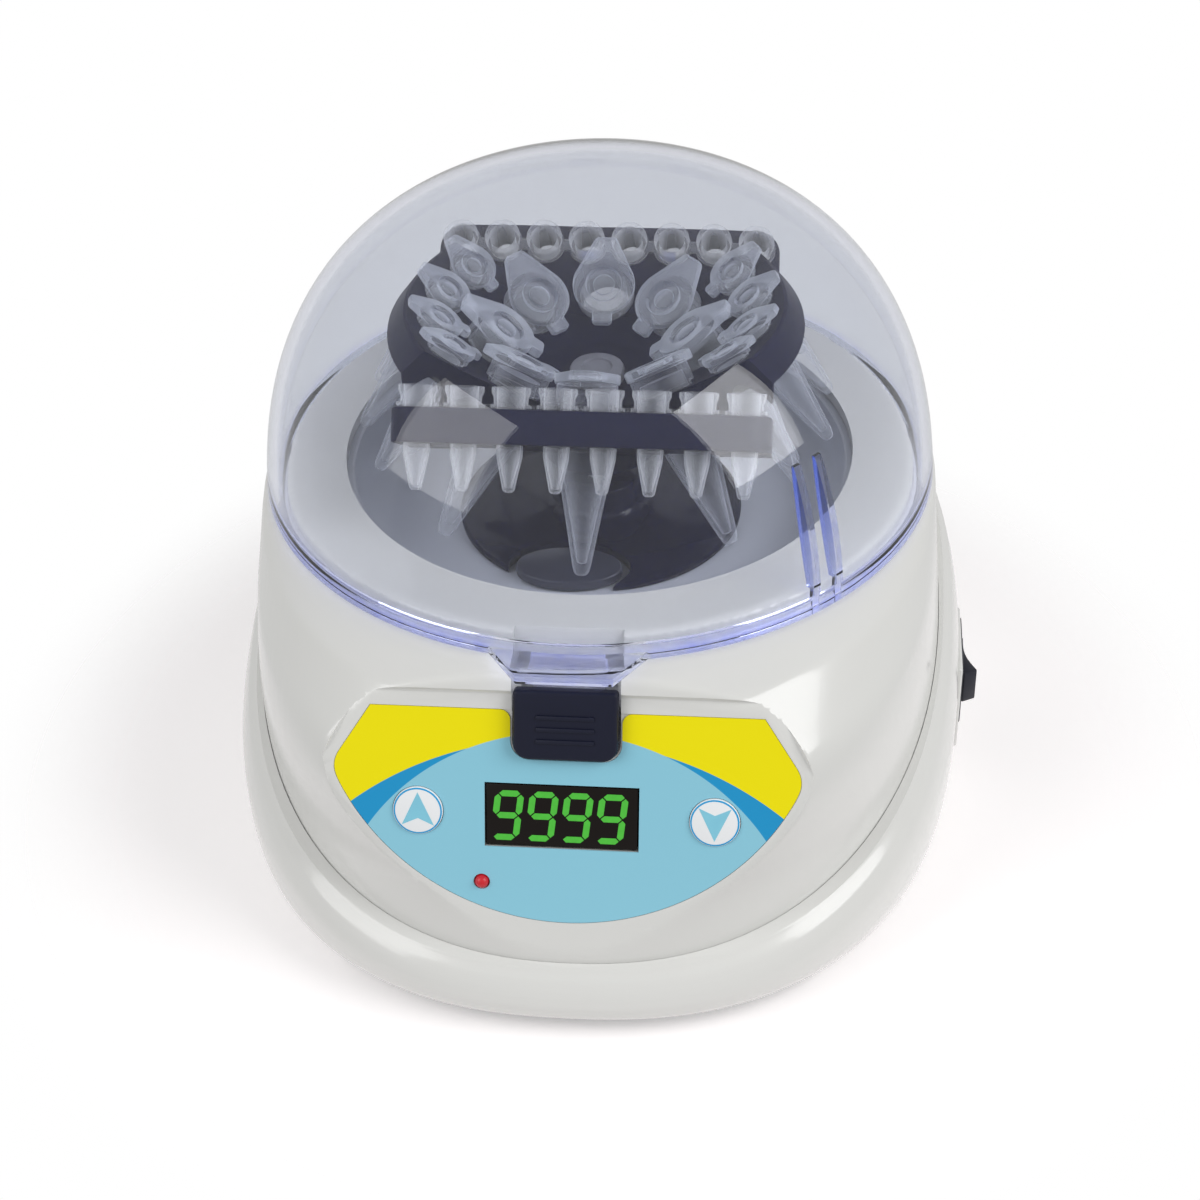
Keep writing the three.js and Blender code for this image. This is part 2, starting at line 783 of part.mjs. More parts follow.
function makeMotorCover() {
  const profile = [
    [shaftRadius + shaftRoom, coverStart],
    [coverRadius, coverStart],
    [coverRadius, coverStart + coverEdge / 2],
    [coverRadius - coverEdge, coverStart + coverEdge],
    [coverBossRadius + coverEdge, coverStart + coverRise],
    [coverBossRadius, coverStart + coverRise + coverEdge],
    [coverBossRadius - coverEdge, coverStart + coverBossRise],
    [shaftRadius + shaftRoom, coverStart + coverBossRise],
  ];
  const half = windowHalf.map((value) => value + windowMargin);
  return cut(solidOf(turned(profile, 32)), solidOf(plate(ellipseShape(windowCentre, half), 0, reach, 10)));
}

addMesh(body, 'motor_cover', geometryOf(makeMotorCover()), glossNavy);
const windowForm = plate(ellipseShape(windowCentre, windowHalf), coverStart, coverStart + windowRise, 10);
addMesh(body, 'sensor_window', windowForm, windowGrey);

// Motor, its bracket and the three rubber mounts

const motorPilotRadius = 6;
const motorPilotRise = bracketThickness;
const bracketRadius = 33;
const motorEase = 1;

const motorProfile = [
  [0, motorTopZ - motorLength],
  [motorRadius - motorEase, motorTopZ - motorLength],
  [motorRadius, motorTopZ - motorLength + motorEase],
  [motorRadius, motorTopZ],
  [motorPilotRadius, motorTopZ],
  [motorPilotRadius, motorTopZ + motorPilotRise],
  [shaftRadius + fitGap, motorTopZ + motorPilotRise],
  [shaftRadius + fitGap, motorTopZ - wall],
  [0, motorTopZ - wall],
];
addMesh(body, 'motor', turned(motorProfile, 20), zinc);

function makeBracket() {
  let bracket = solidOf(rod(bracketRadius, bracketZ, bracketZ + bracketThickness, 32));
  bracket = cut(bracket, solidOf(rod(motorPilotRadius + fitGap, 0, reach, 20)));
  for (const turn of mountTurns) {
    const angle = radians(turn + 60);
    const slot = rod(mountRadius / 6, 0, reach, 12);
    slot.translate(mountRadius * Math.cos(angle), mountRadius * Math.sin(angle), 0);
    bracket = cut(bracket, solidOf(slot));
  }
  return bracket;
}

addMesh(body, 'motor_bracket', geometryOf(makeBracket()), zinc);

mountTurns.forEach((turn, i) => {
  const angle = radians(turn);
  const waist = damperRadius - damperGroove;
  const top = damperHeight - fitGap;
  const profile = [
    [0, 0], [damperRadius, 0], [damperRadius, damperHeight / 4], [waist, damperHeight / 2],
    [damperRadius, (damperHeight * 3) / 4], [damperRadius, top], [0, top],
  ];
  const damper = addMesh(body, `motor_damper_${i + 1}`, turned(profile, 12), rubberBlack);
  damper.position.set(mountRadius * Math.cos(angle), mountRadius * Math.sin(angle), damperZ + fitGap / 2);
});

// Rotor: a dished plate with two round lobes and two straight wings

const rotorBody = new THREE.Group();
body.add(rotorBody);

const lobeTopRadius = lobeRadius - rotorThickness * tiltSine;
const lobeTopZ = coneSeatZ + tiltSlope * lobeTopRadius;
const lobeFootZ = lobeTopZ - rotorThickness * tiltCosine;
const floorRadius = (rotorFloorZ - coneSeatZ) / tiltSlope;
const webThickness = 3.5;
const wingOuter = 4.7;
const wingRound = 5;
const stripPitch = 9;
const stripCount = 8;
const stripHoleRadius = 3.3;

// Big tubes, in a ring of eight
const tubeStep = 0.3;
const bigTube = {
  count: 8,
  topRadius: 17.8,
  topZ: 106,
  length: 39.5,
  radius: 5.35,
  collarRadius: 6.1,
  capRadius: 6.5,
  capThickness: 2,
  hingeReach: 10.3,
  hingeHalf: 2.3,
  tabReach: 8.8,
  tabHalf: 2,
  tipRadius: 1.9,
  taperStart: 20,
};

// Small tubes, four in each lobe
const smallTube = {
  turns: [-30.3, -10.3, 10.3, 30.3],
  topRadius: 30.5,
  topZ: 111.2,
  length: 30.6,
  radius: 3.9,
  collarRadius: 4.5,
  capRadius: 4.9,
  capThickness: 1.6,
  hingeReach: 7.4,
  hingeHalf: 1.7,
  tabReach: 6.6,
  tabHalf: 1.5,
  tipRadius: 1.5,
  taperStart: 15,
};

// Where a tube stands: out along +X, turned about the rotor's axis.
function tubeMatrix(tube, turn) {
  const lean = new THREE.Matrix4().makeRotationY(-radians(tubeTilt));
  lean.setPosition(tube.topRadius, 0, tube.topZ);
  return new THREE.Matrix4().makeRotationZ(radians(turn)).multiply(lean);
}

const bigTurns = Array.from({ length: bigTube.count }, (_, i) => (i * 360) / bigTube.count);
const smallTurns = [0, 180].flatMap((side) => smallTube.turns.map((turn) => side + turn));

function makeRotor() {
  const lobeProfile = [
    [0, rotorFloorZ],
    [0, hubFootZ],
    [hubRadius, hubFootZ],
    [hubRadius, lobeFootZ - tiltSlope * (lobeRadius - hubRadius)],
    [lobeRadius, lobeFootZ],
    [lobeTopRadius, lobeTopZ],
    [floorRadius, rotorFloorZ],
  ];
  const bulkProfile = [
    [0, 0], [lobeRadius, 0], [lobeRadius, lobeFootZ],
    [lobeTopRadius, lobeTopZ], [floorRadius, rotorFloorZ], [0, rotorFloorZ],
  ];
  const band = solidOf(boxBetween([-reach, -lobeHalfDepth, 0], [reach, lobeHalfDepth, reach]));
  let rotor = solidOf(turned(lobeProfile, 40)).intersect(band);
  const bulk = solidOf(turned(bulkProfile, 40)).intersect(band);

  const innerDrop = (wingSeatY - lobeHalfDepth + webThickness) / tiltCosine;
  for (const side of [1, -1]) {
    const frame = new THREE.Matrix4().makeRotationX(radians(tubeTilt));
    frame.setPosition(0, wingSeatY, wingSeatZ);
    frame.premultiply(new THREE.Matrix4().makeRotationZ(side > 0 ? 0 : Math.PI));
    const wing = roundedOutline(-wingHalfLength, -innerDrop, wingHalfLength, wingOuter, 0.5, wingRound);
    for (let i = 0; i < stripCount; i += 1) {
      const hole = new THREE.Path();
      hole.absarc((i - (stripCount - 1) / 2) * stripPitch, 0, stripHoleRadius, 0, 2 * Math.PI, true);
      wing.holes.push(hole);
    }
    rotor = rotor.add(solidOf(movedBy(plate(wing, -rotorThickness, 0, 4), frame)));
    const web = boxBetween(
      [-wingHalfLength, lobeHalfDepth - webThickness, 0],
      [wingHalfLength, lobeHalfDepth, reach],
    );
    const above = boxBetween([-reach, -reach, -rotorThickness], [reach, reach, reach]);
    const turn = new THREE.Matrix4().makeRotationZ(side > 0 ? 0 : Math.PI);
    const webWall = solidOf(movedBy(web, turn)).intersect(bulk);
    rotor = rotor.add(webWall.intersect(solidOf(movedBy(above, frame))));
  }
  for (const turn of bigTurns) {
    const bore = rod(bigTube.radius + fitGap, -reach / 2, 0, 12);
    rotor = cut(rotor, solidOf(movedBy(bore, tubeMatrix(bigTube, turn))));
  }
  for (const turn of smallTurns) {
    const bore = rod(smallTube.radius + fitGap, -reach / 2, 0, 10);
    rotor = cut(rotor, solidOf(movedBy(bore, tubeMatrix(smallTube, turn))));
  }
  return cut(rotor, solidOf(rod(shaftRadius + fitGap, 0, reach, 16)));
}

addMesh(rotorBody, 'rotor_body', geometryOf(makeRotor()), rotorNavy);

const shaftTopZ = 91;
addMesh(rotorBody, 'motor_shaft', rod(shaftRadius, motorTopZ - wall + fitGap, shaftTopZ, 16), steel);

const knobRadius = 5.6;
const knobEase = 0.6;
const knobHeight = 2.6;
const knobStemZ = shaftTopZ + fitGap;
const knobProfile = [
  [0, knobStemZ],
  [shaftRadius, knobStemZ],
  [shaftRadius, rotorFloorZ + fitGap],
  [knobRadius, rotorFloorZ + fitGap],
  [knobRadius, rotorFloorZ + fitGap + knobHeight - knobEase],
  [knobRadius - knobEase, rotorFloorZ + fitGap + knobHeight],
  [0, rotorFloorZ + fitGap + knobHeight],
];
addMesh(rotorBody, 'rotor_knob', turned(knobProfile, 16), knobGrey);

// A capped tube, hanging from its cap's top at the origin down to its tip
function makeTube(tube, collarFoot, sides) {
  const coneEnd = tube.length - tube.tipRadius;
  const profile = [
    [0, -tube.capThickness / 2],
    [0, -tube.length],
    [tube.tipRadius * 0.8, -coneEnd],
    [tube.radius - tubeStep, -tube.taperStart],
    [tube.radius, -collarFoot],
    [tube.collarRadius, -collarFoot],
    [tube.collarRadius, -tube.capThickness / 2],
  ];
  const cap = new THREE.Shape();
  const shoulder = Math.asin(tube.hingeHalf / tube.capRadius) + radians(38);
  const tabTurn = Math.asin(tube.tabHalf / tube.capRadius);
  cap.moveTo(tube.hingeReach, -tube.hingeHalf);
  cap.lineTo(tube.hingeReach, tube.hingeHalf);
  cap.absarc(0, 0, tube.capRadius, shoulder, Math.PI - tabTurn, false);
  cap.lineTo(-tube.tabReach, tube.tabHalf);
  cap.lineTo(-tube.tabReach, -tube.tabHalf);
  cap.absarc(0, 0, tube.capRadius, Math.PI + tabTurn, 2 * Math.PI - shoulder, false);
  cap.closePath();
  return joined(solidOf(turned(profile, sides)), solidOf(plate(cap, -tube.capThickness, 0, 5)));
}

// How far below the cap's top a tube meets the dished face
function seatDrop(tube) {
  const faceAbove = tube.topZ - coneSeatZ - tiltSlope * tube.topRadius;
  const drop = faceAbove * tiltCosine;
  const seatRadius = tube.topRadius + drop * tiltSine;
  const sideRise = Math.hypot(seatRadius, tube.collarRadius) - seatRadius;
  return drop - sideRise * tiltSine;
}

function addTubes(tube, turns, prefix, sides) {
  const geometry = geometryOf(makeTube(tube, seatDrop(tube) - fitGap, sides));
  turns.forEach((turn, i) => {
    const spot = new THREE.Group();
    spot.rotation.z = radians(turn);
    rotorBody.add(spot);
    const mesh = addMesh(spot, `${prefix}_${i + 1}`, geometry, frostedClear);
    mesh.position.set(tube.topRadius, 0, tube.topZ);
    mesh.rotation.y = -radians(tubeTilt);
  });
}

addTubes(bigTube, bigTurns, 'large_tube', 10);
addTubes(smallTube, smallTurns, 'small_tube', 8);

// Strips of eight small open tubes, joined by thin webs

const stripTipEase = 0.6;
const stripTipWall = 1.2;
const strip = {
  headHeight: 4.3,
  headRadius: 3.8,
  waistRadius: 3.35,
  flangeRadius: 4.1,
  flangeThickness: 0.7,
  bodyRadius: 2.9,
  lowerRadius: 2.5,
  lowerAt: 9,
  tipRadius: 1.25,
  length: 15.8,
  wall: 0.5,
  webHalf: 1.2,
};

function makeStrip() {
  const lift = fitGap;
  const profile = [
    [0, -strip.length],
    [strip.tipRadius, -strip.length + stripTipEase],
    [strip.lowerRadius, -strip.lowerAt],
    [strip.bodyRadius, lift],
    [strip.flangeRadius, lift],
    [strip.flangeRadius, lift + strip.flangeThickness],
    [strip.waistRadius, lift + strip.flangeThickness],
    [strip.headRadius, strip.headHeight],
    [strip.headRadius - 2 * strip.wall, strip.headHeight],
    [strip.lowerRadius - strip.wall, -strip.lowerAt],
    [0, -strip.length + stripTipWall],
  ];
  let whole = null;
  for (let i = 0; i < stripCount; i += 1) {
    const y = (i - (stripCount - 1) / 2) * stripPitch;
    const tube = solidOf(turned(profile, 8).translate(0, y, 0));
    whole = whole ? whole.add(tube) : tube;
    if (i > 0) {
      const web = boxBetween(
        [-strip.webHalf, y - stripPitch + strip.waistRadius, lift],
        [strip.webHalf, y - strip.waistRadius, lift + strip.flangeThickness],
      );
      whole = whole.add(solidOf(web));
    }
  }
  return geometryOf(whole);
}

const stripGeometry = makeStrip();
[['front_strip', -90], ['rear_strip', 90]].forEach(([name, turn]) => {
  const spot = new THREE.Group();
  spot.rotation.z = radians(turn);
  rotorBody.add(spot);
  const mesh = addMesh(spot, name, stripGeometry, stripClear);
  mesh.position.set(wingSeatY, 0, wingSeatZ);
  mesh.rotation.y = -radians(tubeTilt);
});

// Clear lid: a domed shell with a thick rim, a front tab over the latch, a
// pair of fins inside the right front, and two hinge arms at the rear

const rimThickness = 2.4;
const domeSteps = 8;
const lidSides = 40;
const tabHalfAtRim = 15.6;
const tabSink = 1;
const armSink = 1;
const tabHalfAtEnd = 9.2;
const tabOverhang = 4.8;
const tabEndY = panelY - tabOverhang;
const tabThickness = 2;
const finTurns = [42, 47];
const finThickness = 1.3;
const finDepth = 4.2;
const finTopZ = 104;
const armEdges = [knuckleEdges[0] + slideGap, knuckleEdges[1] - slideGap];

function domeProfile(inset) {
  const points = [];
  const radius = domeRadius - inset;
  const rise = domeRise - inset;
  const startSine = ((rimZ + (inset > 0 ? rimThickness : 0) - domeCentreZ) / rise) ** (domePower / 2);
  const start = Math.asin(startSine);
  for (let i = 0; i <= domeSteps; i += 1) {
    const angle = start + (i / domeSteps) * (Math.PI / 2 - start);
    const across = i === domeSteps ? 0 : Math.cos(angle) ** (2 / domePower);
    points.push([radius * across, domeCentreZ + rise * Math.sin(angle) ** (2 / domePower)]);
  }
  return points;
}

function makeLid() {
  const profile = [
    [rimInnerRadius, rimZ],
    ...domeProfile(0),
    ...domeProfile(lidWall).reverse(),
    [rimInnerRadius, rimZ + rimThickness],
  ];
  let lid = solidOf(turned(profile, lidSides));

  const tab = new THREE.Shape();
  tab.moveTo(-tabHalfAtRim, -rimInnerRadius - tabSink);
  tab.lineTo(-tabHalfAtEnd, tabEndY);
  tab.lineTo(tabHalfAtEnd, tabEndY);
  tab.lineTo(tabHalfAtRim, -rimInnerRadius - tabSink);
  tab.closePath();
  lid = joined(lid, solidOf(plate(tab, rimZ, rimZ + tabThickness)));

  const inside = solidOf(turned([[0, rimZ], ...domeProfile(lidWall / 2)], lidSides));
  const overDeck = solidOf(rod(deckRadius + slideGap, 0, deckZ + slideGap, 40));
  for (const turn of finTurns) {
    const fin = new THREE.Shape();
    fin.moveTo(domeRadius, rimZ);
    fin.lineTo(rimInnerRadius - finDepth / 4, rimZ);
    const finMiddleZ = (rimZ + finTopZ) / 2;
    fin.quadraticCurveTo(rimInnerRadius - finDepth, finMiddleZ, rimInnerRadius - finDepth - lidWall, finTopZ);
    fin.lineTo(domeRadius, finTopZ);
    fin.closePath();
    const blade = plate(fin, -finThickness / 2, finThickness / 2).rotateX(Math.PI / 2);
    blade.rotateZ(-radians(turn));
    lid = lid.add(cut(solidOf(blade).intersect(inside), overDeck));
  }

  const [innerEdge, outerEdge] = armEdges;
  for (const side of [-1, 1]) {
    const middle = (side * (innerEdge + outerEdge)) / 2;
    const width = outerEdge - innerEdge;
    const barrel = new THREE.CylinderGeometry(hingeBarrelRadius, hingeBarrelRadius, width, 16);
    barrel.rotateZ(Math.PI / 2).translate(middle, hingeY, hingeZ);
    const arm = boxBetween(
      [middle - width / 2, rimInnerRadius + armSink, rimZ],
      [middle + width / 2, hingeY, rimZ + hingeBarrelRadius * 1.6],
    );
    const domeRoom = solidOf(rod(domeRadius - lidWall, 0, reach, 48));
    lid = joined(lid, solidOf(barrel), solidOf(arm).subtract(domeRoom));
  }
  const bore = new THREE.CylinderGeometry(hingePinRadius + fitGap, hingePinRadius + fitGap, reach, 12);
  return cut(lid, solidOf(bore.rotateZ(Math.PI / 2).translate(0, hingeY, hingeZ)));
}

addMesh(body, 'lid_dome', geometryOf(makeLid()), clearPlastic);

// The tongue is a plate under the tab, which drops into the latch pocket

const tongueForm = boxBetween(
  [-tongueHalfWidth, tongueFrontY, tongueFootZ],
  [tongueHalfWidth, tongueFrontY + tongueThickness, rimZ - fitGap],
);
addMesh(body, 'lid_tongue', tongueForm, clearPlastic);

const pin = new THREE.CylinderGeometry(hingePinRadius, hingePinRadius, 2 * hingePinHalf, 12);
addMesh(body, 'hinge_pin', pin.rotateZ(Math.PI / 2), steel).position.set(0, hingeY, hingeZ);

// Parts on the panel

function makeLabel() {
  const shape = labelOutline(0);
  let label = solidOf(plate(shape, -labelThickness, 0, 14));
  label = cut(label, solidOf(plate(buttonWindow(2.3), -reach, reach)));
  label = cut(label, solidOf(boxBetween(
    [displayMiddleU - displayHalfWidth - fitGap, displayFootV - fitGap, -reach],
    [displayMiddleU + displayHalfWidth + fitGap, displayTopV + fitGap, reach],
  )));
  for (const side of [-1, 1]) {
    label = cut(label, solidOf(rod(keyRadius + fitGap, -reach, reach, 18).translate(side * keyU, keyV, 0)));
  }
  return cut(label, solidOf(rod(lampRadius + fitGap, -reach, reach, 12).translate(lampU, lampV, 0)));
}

addMesh(panel, 'control_label', geometryOf(makeLabel()), labelBlue);

addMesh(panel, 'display_module', boxBetween(
  [displayMiddleU - displayHalfWidth, displayFootV, -displayDepth],
  [displayMiddleU + displayHalfWidth, displayTopV, -0.2],
), displayBlack);

const keyCapDepth = 3;
const keyStemRadius = 1.6;
const keySwitchRise = 4;
const keyStemGap = 0.2;
const keyEase = [0.3, 0.2];
const keyStemEnd = boardFrontDepth - keySwitchRise - keyTravel - keyStemGap;
for (const [name, side] of [['up_key', -1], ['down_key', 1]]) {
  const profile = [
    [0, -keyStemEnd], [keyStemRadius, -keyStemEnd], [keyStemRadius, -keyCapDepth], [keyRadius, -keyCapDepth],
    [keyRadius, keyProud - keyEase[1]], [keyRadius - keyEase[0], keyProud], [0, keyProud],
  ];
  addMesh(panel, name, turned(profile, 18), keyWhite).position.set(side * keyU, keyV, 0);
}

const lampBack = boardFrontDepth - fitGap;
const lampProfile = [
  [0, -lampBack],
  [lampRadius, -lampBack],
  [lampRadius, 0],
  [lampRadius * 0.7, lampRadius * 0.6],
  [0, lampRadius * 0.8],
];
addMesh(panel, 'status_lamp', turned(lampProfile, 12), lampRed).position.set(lampU, lampV, 0);

function makeBoard() {
  let board = solidOf(boxBetween(
    [-boardHalfWidth, boardFootV, -boardFrontDepth - boardThickness],
    [boardHalfWidth, boardTopV, -boardFrontDepth],
  ));
  const half = keyRadius * 0.65;
  for (const side of [-1, 1]) {
    board = board.add(solidOf(boxBetween(
      [side * keyU - half, keyV - half, -boardFrontDepth - boardThickness / 2],
      [side * keyU + half, keyV + half, -boardFrontDepth + keySwitchRise],
    )));
  }
  return board;
}

addMesh(panel, 'control_board', geometryOf(makeBoard()), boardGreen);

// Push button, with its plunger and the catch that holds the tongue

const springRadius = 2;

function makeButton() {
  const face = roundedOutline(-buttonHalfWidth, buttonFootV, buttonHalfWidth, buttonTopV, buttonRound, 0.8);
  let button = solidOf(plate(face, -buttonSink, buttonProud, 4));
  button = joined(
    button,
    solidOf(boxBetween([plungerLowU, plungerFootV, -plungerDepth], [plungerHighU, plungerTopV, 0])),
    solidOf(boxBetween(
      [catchLowU, plungerFootV + catchSetBack, -plungerDepth],
      [catchHighU, catchTopV, -plungerDepth + catchThickness],
    )),
    solidOf(boxBetween(
      [catchLowU, catchNoseFootV, -plungerDepth + catchThickness / 2],
      [catchHighU, catchTopV, -catchNoseDepth],
    )),
  );
  const springHole = rod(springRadius + slideGap, -reach, -buttonSink, 14);
  const middleU = (plungerLowU + plungerHighU) / 2;
  const middleV = (plungerTopV + plungerFootV) / 2;
  return cut(button, solidOf(springHole.translate(middleU, middleV, 0)));
}

addMesh(panel, 'push_button', geometryOf(makeButton()), buttonNavy);

const springBack = guideBack - fitGap;
const springFront = buttonSink + fitGap + buttonTravel;
const springForm = rod(springRadius, -springBack, -springFront, 12);
addMesh(panel, 'catch_spring', springForm, steel).position.set(
  (plungerLowU + plungerHighU) / 2,
  (plungerTopV + plungerFootV) / 2,
  0,
);

// Safety switch, pressed by the tongue when the lid is shut

const sensePinTop = tongueFootZ - fitGap;
const sensePinForm = rod(sensePinRadius, senseTopZ + senseTravel + fitGap, sensePinTop, 12);
addMesh(body, 'lid_sense_pin', sensePinForm, steel).position.set(sensePinX, sensePinY, 0);
const [senseX, senseY, senseZ] = senseSize;
addMesh(body, 'lid_switch', boxBetween(
  [sensePinX - senseX / 2, sensePinY - senseY / 6, senseTopZ - senseZ],
  [sensePinX + senseX / 2, sensePinY + (senseY * 5) / 6, senseTopZ],
), switchBlack);

// Power switch: a housing in the side of the skirt and a rocker

const rockerHalfLength = 5.8;
const rockerHalfHeight = 4.1;
const rockerTilt = 14;
const rockerSink = 0.8;
const rockerWellSpare = 2;
const rockerPivotX = padX - rockerSink;
const rockerFace = 2.05;
const rockerEnd = 3.1;
const rockerFlare = 0.8;
const rockerFootHalf = 3;
const rockerFoot = 3.2;
const rockerWell = [7.1, 4.5];

function makeSwitchHousing() {
  const housing = joined(
    switchBlock(switchHalf, 0, -switchDepth, -bezelDepth / 2),
    switchBlock(bezelHalf, 0, -bezelDepth, bezelProud),
  );
  return cut(housing, switchBlock(rockerWell, 0, -rockerFoot - rockerWellSpare, overrun));
}

addMesh(body, 'switch_housing', geometryOf(makeSwitchHousing()), switchBlack);

function makeRocker() {
  const length = rockerHalfLength;
  const shape = new THREE.Shape();
  shape.moveTo(-rockerFoot, -rockerFootHalf);
  shape.lineTo(0, -length - rockerFlare);
  shape.lineTo(rockerEnd, -length);
  shape.quadraticCurveTo(rockerFace, -length / 3, rockerFace, 0);
  shape.quadraticCurveTo(rockerFace, length / 3, rockerEnd, length);
  shape.lineTo(0, length + rockerFlare);
  shape.lineTo(-rockerFoot, rockerFootHalf);
  shape.closePath();
  return plate(shape, -rockerHalfHeight, rockerHalfHeight, 3);
}

const rocker = addMesh(body, 'switch_rocker', makeRocker(), switchBlack);
rocker.position.set(rockerPivotX, 0, switchZ);
rocker.rotation.z = radians(rockerTilt);

// Power inlet at the rear, a round low-voltage socket with a centre contact

function makeInlet() {
  let inlet = solidOf(boxBetween(
    [-inletHalf, padRearY - inletDepth, inletZ - inletHalf],
    [inletHalf, padRearY + inletProud, inletZ + inletHalf],
  ));
  const socket = rod(socketRadius, padRearY + inletProud - socketDepth, padRearY + overrun, 18);
  socket.rotateX(-Math.PI / 2);
  const contact = rod(contactRadius, padRearY - socketDepth - contactSink, padRearY - contactSink, 8);
  contact.rotateX(-Math.PI / 2);
  inlet = cut(inlet, solidOf(socket.translate(0, 0, inletZ)));
  return joined(inlet, solidOf(contact.translate(0, 0, inletZ)));
}

addMesh(body, 'power_inlet', geometryOf(makeInlet()), switchBlack);

// The model's frame: the origin is under the middle of the whole outline, and
// the rotor's axis stands a little behind it.
group.updateMatrixWorld(true);
const bounds = new THREE.Box3().setFromObject(group, true);
const middle = bounds.getCenter(new THREE.Vector3());
body.position.set(-middle.x, -middle.y, -bounds.min.z);

export default group;
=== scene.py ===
# %% [markdown]
# # A bench-top mini centrifuge
# The real thing is a white two-part casing with a sloping control panel, a
# clear domed lid on a rear hinge, and a dark angle rotor full of little tubes.
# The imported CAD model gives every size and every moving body. Here each visible
# piece is built again with a finer surface and given its finish.

import math

import bmesh
import bpy
from mathutils import Matrix, Vector


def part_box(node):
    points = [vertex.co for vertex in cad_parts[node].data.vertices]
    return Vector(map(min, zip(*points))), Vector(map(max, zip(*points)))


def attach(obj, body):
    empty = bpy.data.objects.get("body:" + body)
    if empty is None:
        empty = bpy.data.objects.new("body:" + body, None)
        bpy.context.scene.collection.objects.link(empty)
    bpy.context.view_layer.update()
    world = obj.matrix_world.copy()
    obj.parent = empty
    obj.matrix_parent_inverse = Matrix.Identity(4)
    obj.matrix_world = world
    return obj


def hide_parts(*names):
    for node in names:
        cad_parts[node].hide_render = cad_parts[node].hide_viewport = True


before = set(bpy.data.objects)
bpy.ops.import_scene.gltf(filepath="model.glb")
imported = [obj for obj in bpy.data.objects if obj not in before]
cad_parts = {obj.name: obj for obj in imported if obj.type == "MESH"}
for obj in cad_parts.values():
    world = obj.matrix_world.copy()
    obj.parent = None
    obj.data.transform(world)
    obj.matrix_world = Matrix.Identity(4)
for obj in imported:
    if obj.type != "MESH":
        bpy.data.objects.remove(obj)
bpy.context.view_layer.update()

# %% [markdown]
# ## One ruler for every piece
# The sizes below are in millimetres and counted from the rotor's axis, because
# most of the machine is round about it. Blender works in metres, so one matrix
# turns these sizes into the frame's own. A second matrix does the same for
# whatever lies on the sloping panel.

# %% Rotor axis and panel plane
MM = 0.001
shaft_low, shaft_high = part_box("motor_shaft")
axis_foot = Vector(((shaft_low.x + shaft_high.x) / 2, (shaft_low.y + shaft_high.y) / 2, 0))
on_axis = Matrix.Translation(axis_foot) @ Matrix.Scale(MM, 4)
panel_slope = math.radians(69)
panel_turn = Matrix.Translation((0, -72, 72)) @ Matrix.Rotation(panel_slope, 4, "X")
on_panel = on_axis @ panel_turn
print("rotor axis stands at", [round(v, 5) for v in axis_foot])

# %% [markdown]
# ## The camera
# The photograph looks down at the machine from in front and a little to its
# right. Its three angles and its place came from matching the lid's rim, the
# tubes and the panel's corners, so it stands at a fixed spot.

# %% Camera
turn, rise, roll = math.radians(6.11), math.radians(37.69), math.radians(-1.75)
camera_spot = (44.07, -419.75, 362.19)
back = Vector((math.sin(turn) * math.cos(rise), -math.cos(turn) * math.cos(rise), math.sin(rise)))
level_right = Vector((math.cos(turn), math.sin(turn), 0))
level_up = back.cross(level_right)
right = level_right * math.cos(roll) + level_up * math.sin(roll)
up = level_up * math.cos(roll) - level_right * math.sin(roll)
camera_data = bpy.data.cameras.new("camera")
camera_data.lens = 72.40
camera_data.sensor_width = 36
camera_data.clip_start = 0.01
camera = bpy.data.objects.new("camera", camera_data)
placing = Matrix((right, up, back)).transposed().to_4x4()
placing.translation = on_axis @ Vector(camera_spot)
camera.matrix_world = placing
bpy.context.scene.collection.objects.link(camera)
bpy.context.scene.camera = camera
print("camera at", [round(v, 4) for v in camera.matrix_world.translation])

# %% [markdown]
# ## Turning, lofting and cutting
# Nearly every moulding here is one of three things: a turned form, a stack of
# outlines, or a flat outline with thickness. The helpers below make those three
# from numbers, and another joins or cuts them like clay.

# %% Helpers that make closed forms
def new_object(name, points, faces):
    mesh = bpy.data.meshes.new(name)
    mesh.from_pydata([tuple(p) for p in points], [], faces)
    shape = bmesh.new()
    shape.from_mesh(mesh)
    bmesh.ops.recalc_face_normals(shape, faces=shape.faces)
    shape.to_mesh(mesh)
    shape.free()
    obj = bpy.data.objects.new(name, mesh)
    bpy.context.scene.collection.objects.link(obj)
    return obj


def turned(name, profile, sides=96):
    """A closed [radius, height] loop, turned about Z."""
    points, rings, faces = [], [], []
    for radius, height in profile:
        if radius < 1e-4:
            rings.append([len(points)])
            points.append((0, 0, height))
            continue
        rings.append(list(range(len(points), len(points) + sides)))
        for i in range(sides):
            angle = 2 * math.pi * i / sides
            points.append((radius * math.cos(angle), radius * math.sin(angle), height))
    for low, high in zip(rings, rings[1:] + rings[:1]):
        for i in range(sides):
            a, b = low[i % len(low)], low[(i + 1) % len(low)]
            c, d = high[(i + 1) % len(high)], high[i % len(high)]
            face = list(dict.fromkeys((a, b, c, d)))
            if len(face) > 2:
                faces.append(face)
    return new_object(name, points, faces)


print("turned forms are ready")

# %% [markdown]
# A stack joins outlines at rising heights. A slab is a stack of two equal
# outlines, and a block and a rod are the two commonest of all.

# %% Helpers for stacks, slabs and rods
def stacked(name, rings):
    """Joins rings of points, listed from the bottom up, and closes both ends."""
    count = len(rings[0])
    points = [p for ring in rings for p in ring]
    faces = [list(range(count))[::-1], list(range(len(points) - count, len(points)))]
    for level in range(len(rings) - 1):
        for i in range(count):
            a, b = level * count + i, level * count + (i + 1) % count
            faces.append([a, b, b + count, a + count])
    return new_object(name, points, faces)


